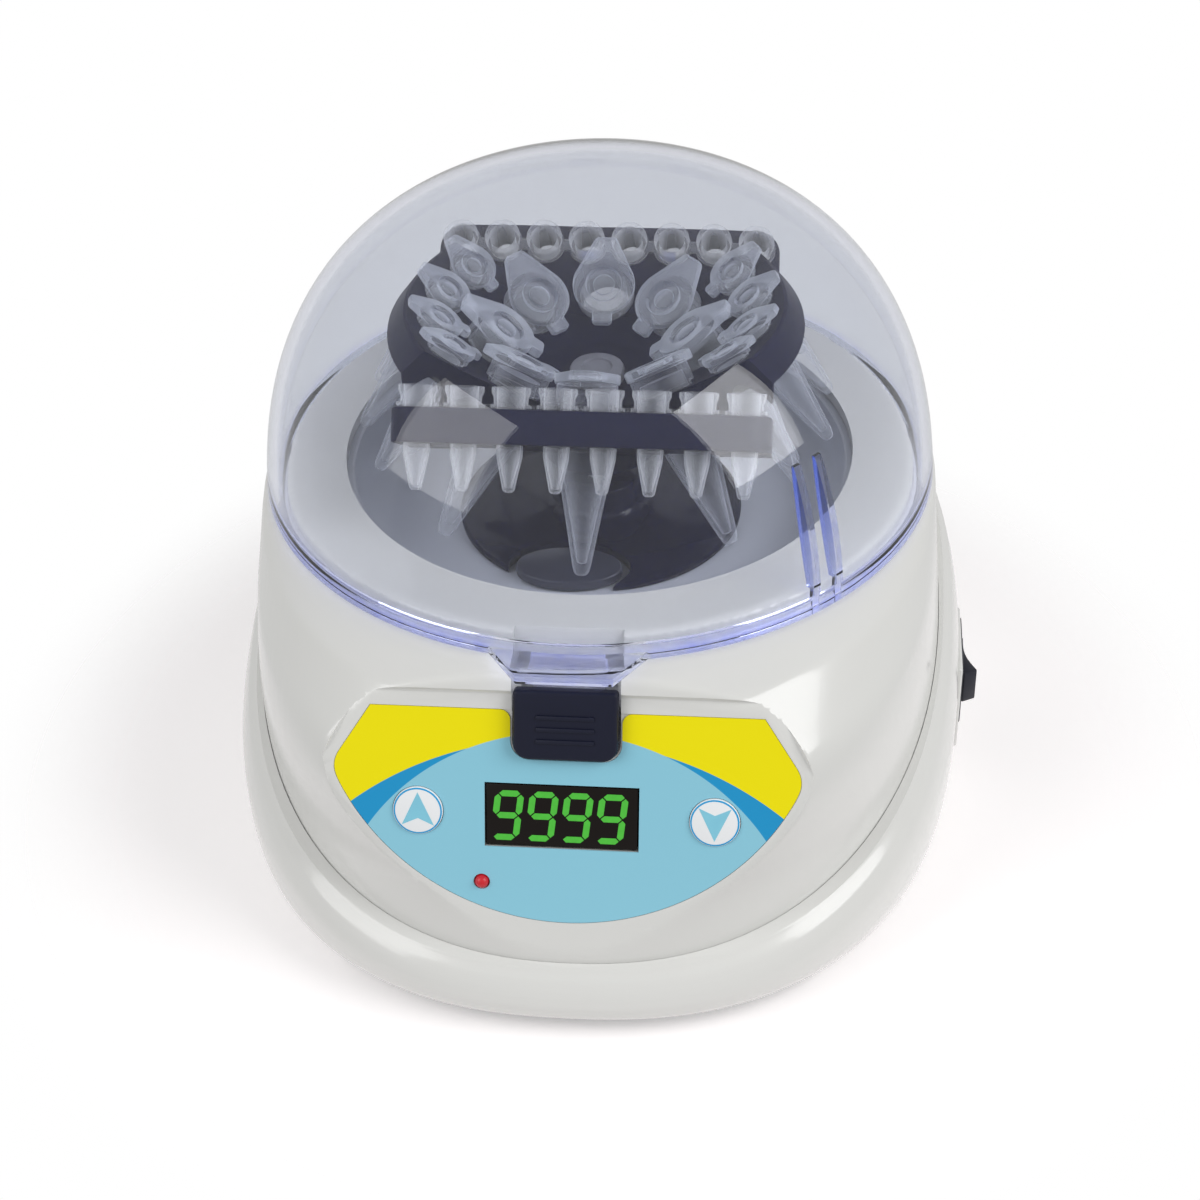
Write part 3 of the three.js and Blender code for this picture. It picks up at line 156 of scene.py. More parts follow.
def slab(name, outline, low, high):
    """A flat outline of (x, y) points, given thickness along Z."""
    return stacked(name, [[(x, y, z) for x, y in outline] for z in (low, high)])


def block(name, low, high):
    outline = [(low[0], low[1]), (high[0], low[1]), (high[0], high[1]), (low[0], high[1])]
    return slab(name, outline, low[2], high[2])


def moved(obj, matrix):
    obj.data.transform(matrix)
    obj.data.update()
    return obj


def rod(name, radius, low, high, sides=32, at=(0, 0)):
    obj = turned(name, [(0, low), (radius, low), (radius, high), (0, high)], sides)
    return moved(obj, Matrix.Translation((at[0], at[1], 0)))


print("stacks, slabs and rods are ready")

# %% [markdown]
# Cutting and joining could stay as modifiers that work at each redraw. Here each
# result is kept as the mesh at once, so that the next cut starts from it and the
# finished piece is one plain closed mesh.

# %% Helpers that join and cut
def with_modifier(obj, kind, **settings):
    """Adds one modifier, keeps its result as the mesh and drops the modifier."""
    modifier = obj.modifiers.new(kind.lower(), kind)
    for key, value in settings.items():
        setattr(modifier, key, value)
    depsgraph = bpy.context.evaluated_depsgraph_get()
    result = bpy.data.meshes.new_from_object(obj.evaluated_get(depsgraph))
    obj.modifiers.clear()
    old = obj.data
    obj.data = result
    bpy.data.meshes.remove(old)
    return obj


def combine(obj, others, how):
    for other in others:
        with_modifier(obj, "BOOLEAN", object=other, operation=how, solver="MANIFOLD")
        bpy.data.objects.remove(other)
    return obj


def join(obj, *others):
    return combine(obj, others, "UNION")


def cut(obj, *others):
    return combine(obj, others, "DIFFERENCE")


def common(obj, *others):
    return combine(obj, others, "INTERSECT")


def bevelled(obj, width, segments=3, angle=30):
    return with_modifier(
        obj, "BEVEL", width=width, segments=segments, limit_method="ANGLE",
        angle_limit=math.radians(angle), use_clamp_overlap=True,
    )


print("joining, cutting and bevelling are ready")

# %% [markdown]
# ## Handing a piece over
# A finished piece is hung from the body it moves with, hides the CAD solids it
# stands for and carries its finish. Faces are shaded smooth except where
# they meet at a real edge.

# %% Helpers that hand a piece over
def shade(obj, edge_angle):
    obj.data.shade_smooth()
    obj.data.set_sharp_from_angle(angle=math.radians(edge_angle))


def hand_over(obj, body, finish, nodes, edge_angle):
    shade(obj, edge_angle)
    obj.data.materials.clear()
    obj.data.materials.append(finish)
    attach(obj, body)
    if nodes:
        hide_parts(*nodes)
    print(f"{obj.name}: {len(obj.data.polygons)} faces")
    return obj


def place(obj, matrix, body, finish, nodes=(), edge_angle=32):
    return hand_over(moved(obj, matrix), body, finish, nodes, edge_angle)


def place_on_panel(obj, body, finish, nodes=(), edge_angle=32):
    """As place, but the object keeps the panel's own axes for its finish."""
    moved(obj, Matrix.Scale(MM, 4))
    obj.matrix_world = on_panel @ Matrix.Scale(1 / MM, 4)
    return hand_over(obj, body, finish, nodes, edge_angle)


print("pieces can be placed on the axis or on the panel")

# %% [markdown]
# ## A moulded skin
# Moulded plastic is never one flat colour. The pigment drifts a little, the
# gloss changes where hands have been, and the tool leaves a very fine grain.
# One node group makes all three, and each plastic below sets its own amounts.
# First come a few helpers, because a finish is mostly nodes fed into nodes.

# %% Helpers that wire nodes
def fill(tree, sockets, given):
    """Sets each named socket to a value, or feeds it from the output given for it."""
    for key, value in given.items():
        if isinstance(value, bpy.types.NodeSocket):
            tree.links.new(value, sockets[key])
        else:
            sockets[key].default_value = value


def add(tree, kind, given=None, **settings):
    """Adds one node with its settings, and fills its sockets."""
    node = tree.nodes.new(kind)
    for key, value in settings.items():
        setattr(node, key, value)
    fill(tree, node.inputs, given or {})
    return node


def calc(tree, operation, *terms):
    return add(tree, "ShaderNodeMath", dict(enumerate(terms)), operation=operation).outputs[0]


def blend(tree, factor, first, second):
    given = {"Factor": factor, "A": first, "B": second}
    return add(tree, "ShaderNodeMix", given, data_type="RGBA").outputs["Result"]


def ramp(tree, value, ranges, **settings):
    return add(tree, "ShaderNodeMapRange", {"Value": value, **ranges}, **settings).outputs["Result"]


def on_object(tree):
    """Places in the object's own axes, so that a pattern moves with its piece."""
    return add(tree, "ShaderNodeTexCoord").outputs["Object"]


def noise(tree, scale, detail, vector):
    given = {"Scale": scale, "Detail": detail, "Vector": vector}
    return add(tree, "ShaderNodeTexNoise", given).outputs["Fac"]


def with_group(tree, group, given):
    return add(tree, "ShaderNodeGroup", given, node_tree=group).outputs


print("node helpers are ready")

# %% [markdown]
# A new group gets its sockets from the values they start with: one number makes
# a number socket, three make a vector and four make a colour.

# %% Helper that starts a shared group
def socket_kind(start):
    if isinstance(start, tuple):
        return "NodeSocketColor" if len(start) == 4 else "NodeSocketVector"
    return "NodeSocketFloat"


def new_group(name, inputs, outputs):
    """The group, the outputs of its input node and the inputs of its output node."""
    group = bpy.data.node_groups.new(name, "ShaderNodeTree")
    for side, sockets in (("INPUT", inputs), ("OUTPUT", outputs)):
        for key, start in sockets.items():
            made = group.interface.new_socket(name=key, in_out=side, socket_type=socket_kind(start))
            made.default_value = start
    return group, group.nodes.new("NodeGroupInput").outputs, group.nodes.new("NodeGroupOutput").inputs


plain_grey, no_vector = (0.8, 0.8, 0.8, 1), (0, 0, 0)
print("a colour starts a", socket_kind(plain_grey))

# %% [markdown]
# The skin group itself. The colour is scaled by a slow noise, the roughness gets
# a finer one on top, and a very fine one feeds a bump. All three are counted in
# the object's own axes, so they stay on the piece when it moves.

# %% Shared group: moulded skin
def moulded_skin_group():
    group, given, result = new_group("Moulded skin", {
        "Colour": plain_grey, "Drift": 0.03, "Roughness": 0.3, "Handling": 0.06,
        "Grain Size": 3000, "Grain Depth": 0.02,
    }, {"Colour": plain_grey, "Roughness": 0, "Normal": no_vector})
    where = on_object(group)
    pigment, hands = noise(group, 55, 3, where), noise(group, 90, 5, where)
    grain = noise(group, given["Grain Size"], 2, where)
    shift = calc(group, "MULTIPLY_ADD", pigment, given["Drift"], 1)
    tone = add(group, "ShaderNodeVectorMath", {0: given["Colour"], "Scale": shift}, operation="SCALE")
    bump = {"Distance": 0.0002, "Strength": given["Grain Depth"], "Height": grain}
    fill(group, result, {
        "Colour": tone.outputs["Vector"],
        "Roughness": calc(group, "MULTIPLY_ADD", hands, given["Handling"], given["Roughness"]),
        "Normal": add(group, "ShaderNodeBump", bump).outputs["Normal"],
    })
    return group


moulded_skin = moulded_skin_group()
print("group:", moulded_skin.name, len(moulded_skin.nodes), "nodes")

# %% [markdown]
# ## Painted edge light
# Sharp convex corners get a paler colour painted in, a painted edge highlight.
# The geometry's own pointiness tells where they are, a noise breaks them up, and a
# second group mixes the painted colour in there. The lid paints a blue edge the same way.

# %% Shared group: painted edge light
# Paints a colour over sharp convex edges: a paler painted edge highlight on opaque plastics, a painted blue
# on the lid's edges.
def painted_edge_light_group():
    group, given, result = new_group("Painted edge light", {
        "Colour": plain_grey, "Painted Edge Colour": (0.9, 0.9, 0.9, 1), "Start": 0.52, "End": 0.6, "Amount": 0.5,
    }, {"Colour": plain_grey})
    corners = add(group, "ShaderNodeNewGeometry").outputs["Pointiness"]
    mask = ramp(group, corners, {"From Min": given["Start"], "From Max": given["End"]})
    patchy = calc(group, "MULTIPLY", mask, noise(group, 400, 3, on_object(group)))
    amount = calc(group, "MULTIPLY", patchy, given["Amount"])
    fill(group, result, {"Colour": blend(group, amount, given["Colour"], given["Painted Edge Colour"])})
    return group


painted_edge_light = painted_edge_light_group()
print("group:", painted_edge_light.name, len(painted_edge_light.nodes), "nodes")

# %% [markdown]
# ## The opaque plastics
# Each opaque finish is the same recipe with other numbers: skin group, painted
# edge light group, then a Principled shader that stays in the material itself.
# The casing is a warm white with a clear gloss, the rotor a dark blue with a softer one.

# %% Colours and empty materials
def srgb(red, green, blue):
    def linear(value):
        value = value / 255
        return value / 12.92 if value <= 0.04045 else ((value + 0.055) / 1.055) ** 2.4

    return (linear(red), linear(green), linear(blue), 1)


def darker(colour, share):
    return tuple(c * share for c in colour[:3]) + (1,)


def empty_material(name):
    material = bpy.data.materials.new(name)
    material.use_nodes = True
    return material, material.node_tree, material.node_tree.nodes["Principled BSDF"]


def skinned(tree, shader, colour, drift, roughness, handling, grain):
    """Puts the moulded skin over a colour and feeds the shader with it."""
    skin = with_group(tree, moulded_skin, {
        "Colour": colour, "Drift": drift, "Roughness": roughness, "Handling": handling,
        "Grain Size": grain[0], "Grain Depth": grain[1],
    })
    fill(tree, shader.inputs, {
        "Base Color": skin["Colour"], "Roughness": skin["Roughness"], "Normal": skin["Normal"],
    })


print("casing white is", [round(v, 3) for v in srgb(224, 224, 221)])

# %% [markdown]
# The recipe takes the colour as it looks, the roughness, and how far pigment,
# gloss and grain stray from them. The last numbers say where edges get a paler
# painted highlight, how clear a coat lies on top and how much the surface shines.

# %% Opaque plastics
def plastic(name, colour, roughness, drift=0.03, handling=0.06, grain=(3000, 0.03),
            edge_light=(0.52, 0.62, 0.3), coat=0.0, shine=0.5):
    material, tree, shader = empty_material(name)
    # Sharp convex edges get a paler painted edge highlight.
    edge = with_group(tree, painted_edge_light, {
        "Colour": colour, "Painted Edge Colour": tuple(min(1, c * 1.5 + 0.02) for c in colour),
        "Start": edge_light[0], "End": edge_light[1], "Amount": edge_light[2],
    })
    skinned(tree, shader, edge["Colour"], drift, roughness, handling, grain)
    fill(tree, shader.inputs, {"Coat Weight": coat, "Coat Roughness": 0.06, "Specular IOR Level": shine})
    return material


casing_white = plastic("casing white", srgb(224, 224, 221), 0.15, 0.02, 0.05, (2600, 0.012), coat=0.25)
cover_white = plastic("underside white", srgb(214, 214, 210), 0.45, 0.04, 0.1, (1800, 0.08))
bowl_grey = plastic("chamber grey", srgb(212, 216, 226), 0.3, 0.04, 0.08, (2200, 0.03))
rotor_navy = plastic(
    "rotor navy", srgb(9, 12, 48), 0.4, 0.1, 0.12, (2400, 0.01), (0.54, 0.7, 0.1), shine=0.14)
gloss_navy = plastic(
    "motor cover navy", srgb(6, 8, 50), 0.07, 0.08, 0.05, (900, 0.002), (0.6, 0.8, 0.05), shine=0.3)
window_smoke = plastic(
    "sensor window smoke", srgb(62, 64, 82), 0.2, 0.06, 0.06, (900, 0.004), (0.6, 0.8, 0.1))
button_navy = plastic(
    "button navy", srgb(19, 22, 41), 0.42, 0.08, 0.1, (1500, 0.1), (0.53, 0.66, 0.12), shine=0.25)
switch_black = plastic(
    "switch black", srgb(20, 22, 36), 0.38, 0.08, 0.1, (1700, 0.1), (0.54, 0.68, 0.12), shine=0.4)
key_white = plastic("key white", srgb(246, 248, 250), 0.3, 0.01, 0.05, (2600, 0.02))
key_blue = plastic("key ring blue", srgb(31, 154, 210), 0.35, 0.04, 0.05, (2600, 0.02))
arrow_blue = plastic("key arrow blue", srgb(130, 200, 224), 0.35, 0.04, 0.05, (2600, 0.02))
display_black = plastic(
    "display black", srgb(14, 7, 4), 0.25, 0.1, 0.06, (2600, 0.01), (0.7, 0.9, 0.05), shine=0.2)
knob_grey = plastic("knob grey", srgb(118, 119, 128), 0.35, 0.06, 0.08, (2000, 0.05))
rubber_black = plastic("rubber black", srgb(28, 28, 30), 0.75, 0.2, 0.1, (900, 0.25))
board_green = plastic("circuit board green", srgb(38, 104, 70), 0.45, 0.15, 0.1, (1200, 0.1))
print("materials so far:", len(bpy.data.materials))

# %% [markdown]
# ## Metals
# Pins, screws and the shaft are turned steel, and the motor's case is plated.
# Their streaks come from a noise that is stretched along one axis.

# %% Metals
def metal(name, colour, roughness, stretch):
    material, tree, shader = empty_material(name)
    drawn = add(tree, "ShaderNodeMapping", {"Scale": stretch, "Vector": on_object(tree)})
    streak = noise(tree, 600, 4, drawn.outputs["Vector"])
    fill(tree, shader.inputs, {
        "Roughness": ramp(tree, streak, {"To Min": roughness - 0.08, "To Max": roughness + 0.14}),
        "Base Color": blend(tree, streak, colour, darker(colour, 0.8)), "Metallic": 1,
    })
    return material


steel = metal("turned steel", srgb(190, 192, 196), 0.28, (1, 1, 8))
zinc = metal("plated steel", srgb(150, 153, 160), 0.4, (6, 1, 1))
print("metals are ready")

# %% [markdown]
# ## The clear plastics
# The lid is a clear moulding with a faint blue cast. The cast is in the depth of
# the material, so it is an absorption that grows with the way the light takes.
# Its moulded edges also get a deeper blue painted into the colour, painted light
# for the light that runs through the clear edges. Shadow rays pass through,
# since a clear lid throws hardly any shadow. The ribs' sides get the bluest
# painted light of all, and a mask that is painted onto the mesh tells where they are.

# %% Clear lid plastic
def lid_material():
    material, tree, shader = empty_material("lid clear")
    # The lid's edges get a deeper blue painted into the colour, painted light for the light that runs
    # through them.
    edge = with_group(tree, painted_edge_light, {
        "Colour": (0.77, 0.785, 0.81, 1), "Painted Edge Colour": (0.26, 0.32, 0.93, 1),
        "Start": 0.522, "End": 0.565, "Amount": 1.0,
    })
    # The ribs' sides get a painted blue as well, from the mask on the mesh.
    rib_side = add(tree, "ShaderNodeAttribute", attribute_name="rib_side").outputs["Fac"]
    skin = with_group(tree, moulded_skin, {
        "Colour": blend(tree, rib_side, edge["Colour"], (0.11, 0.2, 0.88, 1)), "Drift": 0.01,
        "Roughness": 0.0, "Handling": 0.015, "Grain Size": 1500, "Grain Depth": 0.0,
    })
    fill(tree, shader.inputs, {
        "Base Color": skin["Colour"], "Roughness": skin["Roughness"], "Transmission Weight": 1, "IOR": 1.4,
    })
    shadow_ray = add(tree, "ShaderNodeLightPath").outputs["Is Shadow Ray"]
    through = add(tree, "ShaderNodeBsdfTransparent", {"Color": (0.985, 0.985, 1, 1)})
    mix = add(tree, "ShaderNodeMixShader", {
        "Fac": shadow_ray, 1: shader.outputs["BSDF"], 2: through.outputs["BSDF"],
    })
    depth = add(tree, "ShaderNodeVolumeAbsorption", {"Color": (0.5, 0.56, 0.9, 1), "Density": 25})
    fill(tree, tree.nodes["Material Output"].inputs, {
        "Surface": mix.outputs["Shader"], "Volume": depth.outputs["Volume"],
    })
    return material


lid_clear = lid_material()
print("lid finish:", len(lid_clear.node_tree.nodes), "nodes")

# %% [markdown]
# The tubes, strips and the lid's tongue are milky. Real scattering inside a thin
# wall is slow to render, so the wall is a veil: a pale plastic whose cover grows
# where the wall turns away from the eye. The caps are thicker and so denser.

# %% Milky plastics
def milky_plastic(name, colour, face_cover, edge_cover, roughness):
    material, tree, shader = empty_material(name)
    skinned(tree, shader, colour, 0.04, roughness, 0.1, (1500, 0.0))
    facing = add(tree, "ShaderNodeLayerWeight", {"Blend": 0.35}).outputs["Facing"]
    fill(tree, shader.inputs, {"Alpha": ramp(tree, facing, {"To Min": face_cover, "To Max": edge_cover})})
    return material


tube_milky = milky_plastic("tube milky", (0.74, 0.77, 0.85, 1), 0.04, 0.5, 0.25)
cap_milky = milky_plastic("tube cap milky", (0.74, 0.78, 0.86, 1), 0.12, 0.75, 0.25)
strip_clear = milky_plastic("strip clear", (0.92, 0.94, 0.97, 1), 0.055, 0.6, 0.12)
tongue_milky = milky_plastic("lid tongue frosted", (0.78, 0.79, 0.93, 1), 0.55, 0.85, 0.3)
print("milky plastics are ready")

# %% [markdown]
# ## Outlines shared by the casing
# Both halves of the casing are stacks of rounded outlines, broader in front than
# behind. The stack's levels come from the CAD solid, and a smooth curve through
# them gives the many levels of the finer surface.

# %% Casing outlines
ring_sides = 144
upper_half, upper_front = 73.6, 98.5
skirt_half, skirt_front = 78.3, 97.5
seam_middle, seam_slope = 43.5, 0.284
far = 200


def rounded_ring(side, front, rear, power, height_of):
    ring = []
    for i in range(ring_sides):
        angle = 2 * math.pi * i / ring_sides
        c, s = math.cos(angle), math.sin(angle)
        x = math.copysign(abs(c) ** (2 / power), c) * side
        y = math.copysign(abs(s) ** (2 / power), s) * (front if s < 0 else rear)
        ring.append((x, y, height_of(y)))
    return ring


def smooth_rows(rows, steps):
    """More rows on a smooth curve through the given ones. The first value rises."""
    made = []
    for i in range(len(rows) - 1):
        p0, p1 = rows[max(i - 1, 0)], rows[i]
        p2, p3 = rows[i + 1], rows[min(i + 2, len(rows) - 1)]
        for k in range(steps):
            t = k / steps
            made.append([
                p1[j] + (p2[j] - p1[j]) * t if j == 0 else
                0.5 * (2 * p1[j] + (p2[j] - p0[j]) * t
                       + (2 * p0[j] - 5 * p1[j] + 4 * p2[j] - p3[j]) * t * t
                       + (3 * p1[j] - p0[j] - 3 * p2[j] + p3[j]) * t ** 3)
                for j in range(len(p1))
            ])
    made.append(list(rows[-1]))
    return made


print(ring_sides, "points in a ring")

# %% [markdown]
# The two halves meet at a seam that rises to the rear. One function gives its
# height, and another makes a cutter for all that lies below it.

# %% Seam between the halves
def seam_height(y):
    return seam_middle + seam_slope * y


def below_seam(name, drop):
    """A cutter for all that lies below the seam's plane, lowered by drop."""
    slope = Matrix.Rotation(math.atan(seam_slope), 4, "X")
    lower_half = block(name, (-far, -far, -far), (far, far, 0))
    return moved(lower_half, Matrix.Translation((0, 0, seam_middle - drop)) @ slope)


print("seam height at the rear:", round(seam_height(upper_half), 1), "mm")

# %% [markdown]
# ## The upper casing
# The upper casing is a drum whose front swells forward and is then planed off at
# a slope for the control panel. It could be carved from one block, but stacking
# outlines keeps the sides true to the CAD solid. The form is remeshed and
# smoothed before the crisp cuts, so that its edges are rounded as a moulding's
# are, and hollowed last.

# %% Upper casing, outer form
shell_foot, shell_top, deck_top = 10, 74.7, 78.65
hinge_place = Matrix.Translation((0, 75.5, 78.5)) @ Matrix.Rotation(math.pi / 2, 4, "Y")
knuckle_radius, pin_bore = 3.48, 1.8
upper_rows = [
    [0, 1, 0.939, 2.28], [0.13, 0.999, 0.934, 2.28], [0.317, 0.997, 0.93, 2.28],
    [0.464, 0.993, 0.954, 2.28], [0.587, 0.986, 0.985, 2.25], [0.68, 0.98, 1, 2.2],
    [0.773, 0.973, 0.975, 2.2], [0.866, 0.966, 0.894, 2.15], [0.94, 0.961, 0.827, 2.1],
    [0.983, 0.957, 0.742, 2.05], [1, 0.95, 0.7107, 2],
]


def upper_form(name, grow, rows):
    rings = []
    for height, side, front, power in rows:
        z = shell_foot + height * (shell_top - shell_foot)
        half = side * upper_half + grow
        rings.append(rounded_ring(half, front * upper_front + grow, half, power, lambda y, z=z: z))
    return stacked(name, rings)


def panel_block(name, low, high):
    return moved(block(name, low, high), panel_turn)


top_shell = upper_form("top_casing", -0.05, smooth_rows(upper_rows, 4))
join(top_shell, rod("deck", 65.65, shell_top - 3, deck_top, 144))
join(top_shell, block("hinge_root", (-24, 63.2, 68), (24, 78.9, shell_top)))
for low_x, high_x in ((-24, -12), (-5, 5), (12, 24)):
    barrel = moved(rod("barrel", knuckle_radius, low_x, high_x, 40), hinge_place)
    join(top_shell, barrel, block("root", (low_x, 72.05, 72), (high_x, 78.95, 78.5)))
brow_tilt = Matrix.Translation((0, -50, 0)) @ Matrix.Rotation(math.radians(1.15), 4, "X")
cut(top_shell, moved(block("plane", (-far, -far, -0.02), (far, 260, far)), panel_turn @ brow_tilt))
with_modifier(top_shell, "REMESH", mode="VOXEL", voxel_size=0.85)
with_modifier(top_shell, "SMOOTH", factor=0.5, iterations=5)
print("outer form:", len(top_shell.data.polygons), "faces")

# %% [markdown]
# The panel's openings start as flat outlines in the panel's own plane. The
# label's one is a part of a circle with two slanting shoulders, and most others
# are boxes with rounded corners.

# %% Places on the panel, and rounded corners
up_spot, down_spot, lamp_spot = (-28.6, -27), (28.6, -27), (-16.3, -41.3)
display_low, display_high = (-15.7, -33.9), (14.1, -20.7)
label_radius, label_half, label_middle = 48.7, 45.4, -0.4
shoulder_half, shoulder_v = 37.5, -6


def eased(points, index, reach, steps=8):
    """Rounds one corner of an outline, from reach before it to reach after it."""
    index = index % len(points)
    corner = Vector(points[index])
    low = high = index
    while (Vector(points[low - 1]) - corner).length < reach:
        low -= 1
    while (Vector(points[high + 1]) - corner).length < reach:
        high += 1
    before, after = Vector(points[low - 1]), Vector(points[high + 1])
    start = corner + (before - corner).normalized() * reach
    end = corner + (after - corner).normalized() * reach
    arc = []
    for i in range(steps + 1):
        t = i / steps
        arc.append(tuple(start * (1 - t) ** 2 + corner * 2 * t * (1 - t) + end * t * t))
    return points[:low] + arc + points[high + 1:]


print("keys at", up_spot, down_spot, "lamp at", lamp_spot)

# %% [markdown]
# The label's own outline is asked for with a margin, since the film, its recess
# and the raised console round it all follow the same line.

# %% Outline of the label, and rounded boxes
def label_outline(grow, steps=80):
    """The label's outline, grown by a margin. It runs round its lower edge."""
    tip_drop = math.sqrt(label_radius ** 2 - label_half ** 2)
    nx, ny = (label_middle - tip_drop + 5), 7.9
    length = math.hypot(nx, ny)
    nx, ny = -nx / length, ny / length
    corner = grow * nx / (1 + ny)
    radius = label_radius + grow
    tip = math.atan2(-tip_drop, label_half)
    points = [(-shoulder_half - corner, shoulder_v + grow)]
    for i in range(steps + 1):
        angle = math.pi - tip + (math.pi + 2 * tip) * i / steps
        points.append((radius * math.cos(angle), label_middle + radius * math.sin(angle)))
    points.append((shoulder_half + corner, shoulder_v + grow))
    return eased(eased(points, 1, 3.2), -2, 3.2)


def rounded_box(low_x, low_y, high_x, high_y, low_round, high_round=0.01, steps=8):
    corners = [(low_x, low_y, low_round, math.pi), (high_x, low_y, low_round, 1.5 * math.pi),
               (high_x, high_y, high_round, 0), (low_x, high_y, high_round, 0.5 * math.pi)]
    points = []
    for x, y, radius, start in corners:
        cx = x + radius if x == low_x else x - radius
        cy = y + radius if y == low_y else y - radius
        for i in range(steps + 1):
            angle = start + (math.pi / 2) * i / steps
            points.append((cx + radius * math.cos(angle), cy + radius * math.sin(angle)))
    return points


print("label outline:", len(label_outline(0)), "points")

# %% [markdown]
# The recess for the label, the button's window, the latch pocket and the holes
# for keys, lamp and display are cut with sharp tools, because the real ones have
# crisp rims. The same numbers as in the CAD part place them.

# %% Upper casing, openings
def panel_slab(name, outline, low, high):
    return moved(slab(name, outline, low, high), panel_turn)


def panel_rod(name, spot, radius, low, high, sides=40):
    return moved(rod(name, radius, low, high, sides, spot), panel_turn)


console_steps = ((3.1, -0.02), (3.5, 0.15), (4.6, 1.3), (4.6, 9))
console = stacked("console", [[(u, v, w) for u, v in label_outline(grow)] for grow, w in console_steps])
cut(
    top_shell,
    moved(console, panel_turn),
    panel_slab("label_recess", label_outline(0.25), -0.34, 9),
    panel_slab("button_window", rounded_box(-10.4, -15.5, 10.4, 20, 3.4), -6, 9),
    panel_block("display_window", (*display_low, -9), (*display_high, 9)),
    panel_rod("up_hole", up_spot, 5.25, -9, 9),
    panel_rod("down_hole", down_spot, 5.25, -9, 9),
    panel_rod("lamp_hole", lamp_spot, 1.6, -9, 9, 24),
    block("latch_pocket", (-9.3, -far, 65.4), (9.3, -64.6, far)),
)
print("with openings:", len(top_shell.data.polygons), "faces")

# %% [markdown]
# Inside, the casing is a thin wall. The hollow is cut in one go with a smaller
# copy of the outer form, and the mouth of the chamber and the seam follow.

# %% Upper casing, hollow
casing_wall = 2.5
hollow = upper_form("hollow", -casing_wall, upper_rows[::2])
cut(
    hollow,
    panel_block("panel_wall", (-far, -far, -3.3), (far, far, far)),
    block("deck_wall", (-far, -far, shell_top - casing_wall), (far, far, far)),
    block("pocket_wall", (-10.9, -100, 63.8), (10.9, -63, 100)),
    panel_block("button_wall", (-12, -18, -6), (12, 40, 0)),
)
cut(top_shell, hollow, below_seam("under_seam", 4))
cut(
    top_shell,
    rod("mouth", 53, 0, far, 144),
    rod("under_deck", 63.2, 60, deck_top - casing_wall, 96),
    rod("sense_hole", 1.6, 40, 80, 24, (6, -67.6)),
    moved(rod("pin_bore", pin_bore, -100, 100, 24), hinge_place),
)
place(top_shell, on_axis, "casing", casing_white, ["top_shell"], 40)

# %% [markdown]
# ## The skirt
# The lower casing is a wide skirt with a broad shoulder that rolls in to the
# seam. It is stacked from outlines too. A small turn-in at the top makes the
# dark groove that runs all round the real machine.

# %% Skirt
skirt_rows = [
    [0, 0.967, 0.918], [0.12, 0.985, 0.957], [0.35, 0.997, 0.992], [0.55, 1, 1],
    [0.7, 0.998, 0.998], [0.82, 0.986, 0.99], [0.92, 0.97, 0.978], [1, 0.946, 0.958],
]


def skirt_form(name, inset, top_drop, foot, rows):
    rings = []
    for height, side, front in rows:
        half = side * skirt_half - inset

        def level(y, height=height):
            return foot + height * (seam_height(y) - top_drop - foot)

        rings.append(rounded_ring(half, front * skirt_front - inset, half, 2.42, level))
    return stacked(name, rings)


skirt = skirt_form("lower_casing", 0.05, 0, 1.5, smooth_rows(skirt_rows, 5))
side_pad = bevelled(block("side_pad", (66, -11.2, 7), (78.85, 11.2, 29)), 0.5)
rear_pad = bevelled(block("rear_pad", (-12, 66, 7), (12, 78.85, 27.5)), 0.5)
join(skirt, side_pad, rear_pad)
cut(skirt, skirt_form("skirt_hollow", 2.6, 2.6, -0.5, skirt_rows))
inner_room = upper_form("inner_room", 0.06, upper_rows)
cut(inner_room, below_seam("below", 4.3))
cut(
    skirt, inner_room,
    block("switch_hole", (60, -8.5, 13.3), (82, 8.5, 26.7)),
    block("bezel_seat", (77.4, -9.6, 12.2), (82, 9.6, 27.8)),
    block("inlet_hole", (-5.8, 60, 16.2), (5.8, 82, 27.8)),
)
place(skirt, on_axis, "casing", casing_white, ["base_shell"], 40)

# %% [markdown]
# ## The chamber
# Under the rotor lies a shallow bowl. In its floor sits a polished dark cover
# over the motor, and an oval window overlaps the cover's front edge. All of it
# is turned work, seen through the lid, so smooth walls matter more than detail.

# %% Bowl, motor cover and window
def bowl_bend(radius):
    angles = [(math.pi / 2) * i / 12 for i in range(13)]
    return [(43.5 + radius * math.sin(a), 69.5 - radius * math.cos(a)) for a in angles]


def window_oval(half_x, half_y):
    angles = [2 * math.pi * i / 64 for i in range(64)]
    return [(-4.4 + half_x * math.cos(a), -24.4 + half_y * math.sin(a)) for a in angles]


bowl = turned("chamber_liner", [
    (8, 59.5), *bowl_bend(10), (53.5, 73.85), (57, 73.85), (57, 75.85), (51.9, 75.85), (51.5, 75.5),
    *bowl_bend(8)[::-1], (8, 61.5),
], 144)
place(bowl, on_axis, "casing", bowl_grey, ["chamber_bowl"])

motor_cover = turned("motor_dome", [
    (3.5, 61.8), (30, 61.8), (30, 62.6), (29.6, 63.2), (28.6, 63.6), (20, 64.0), (12.5, 64.35),
    (10.6, 64.8), (9.6, 65.6), (9.1, 66.6), (8.7, 70), (8.2, 70.9), (7.2, 71.3), (3.5, 71.3),
], 120)
cut(motor_cover, slab("window_seat", window_oval(12.6, 7.8), 40, 90))
place(motor_cover, on_axis, "casing", gloss_navy, ["motor_cover"])
window = bevelled(slab("speed_window", window_oval(11, 6.2), 61.8, 64.2), 0.5)
place(window, on_axis, "casing", window_smoke, ["sensor_window"])

# %% [markdown]
# ## The rotor
# The rotor is one dark moulding: a dished plate with two round lobes for the
# capped tubes and two straight wings for the strips. Its upper face is part of a
# cone. A seat is the radius and the height of the upper end of a tube.

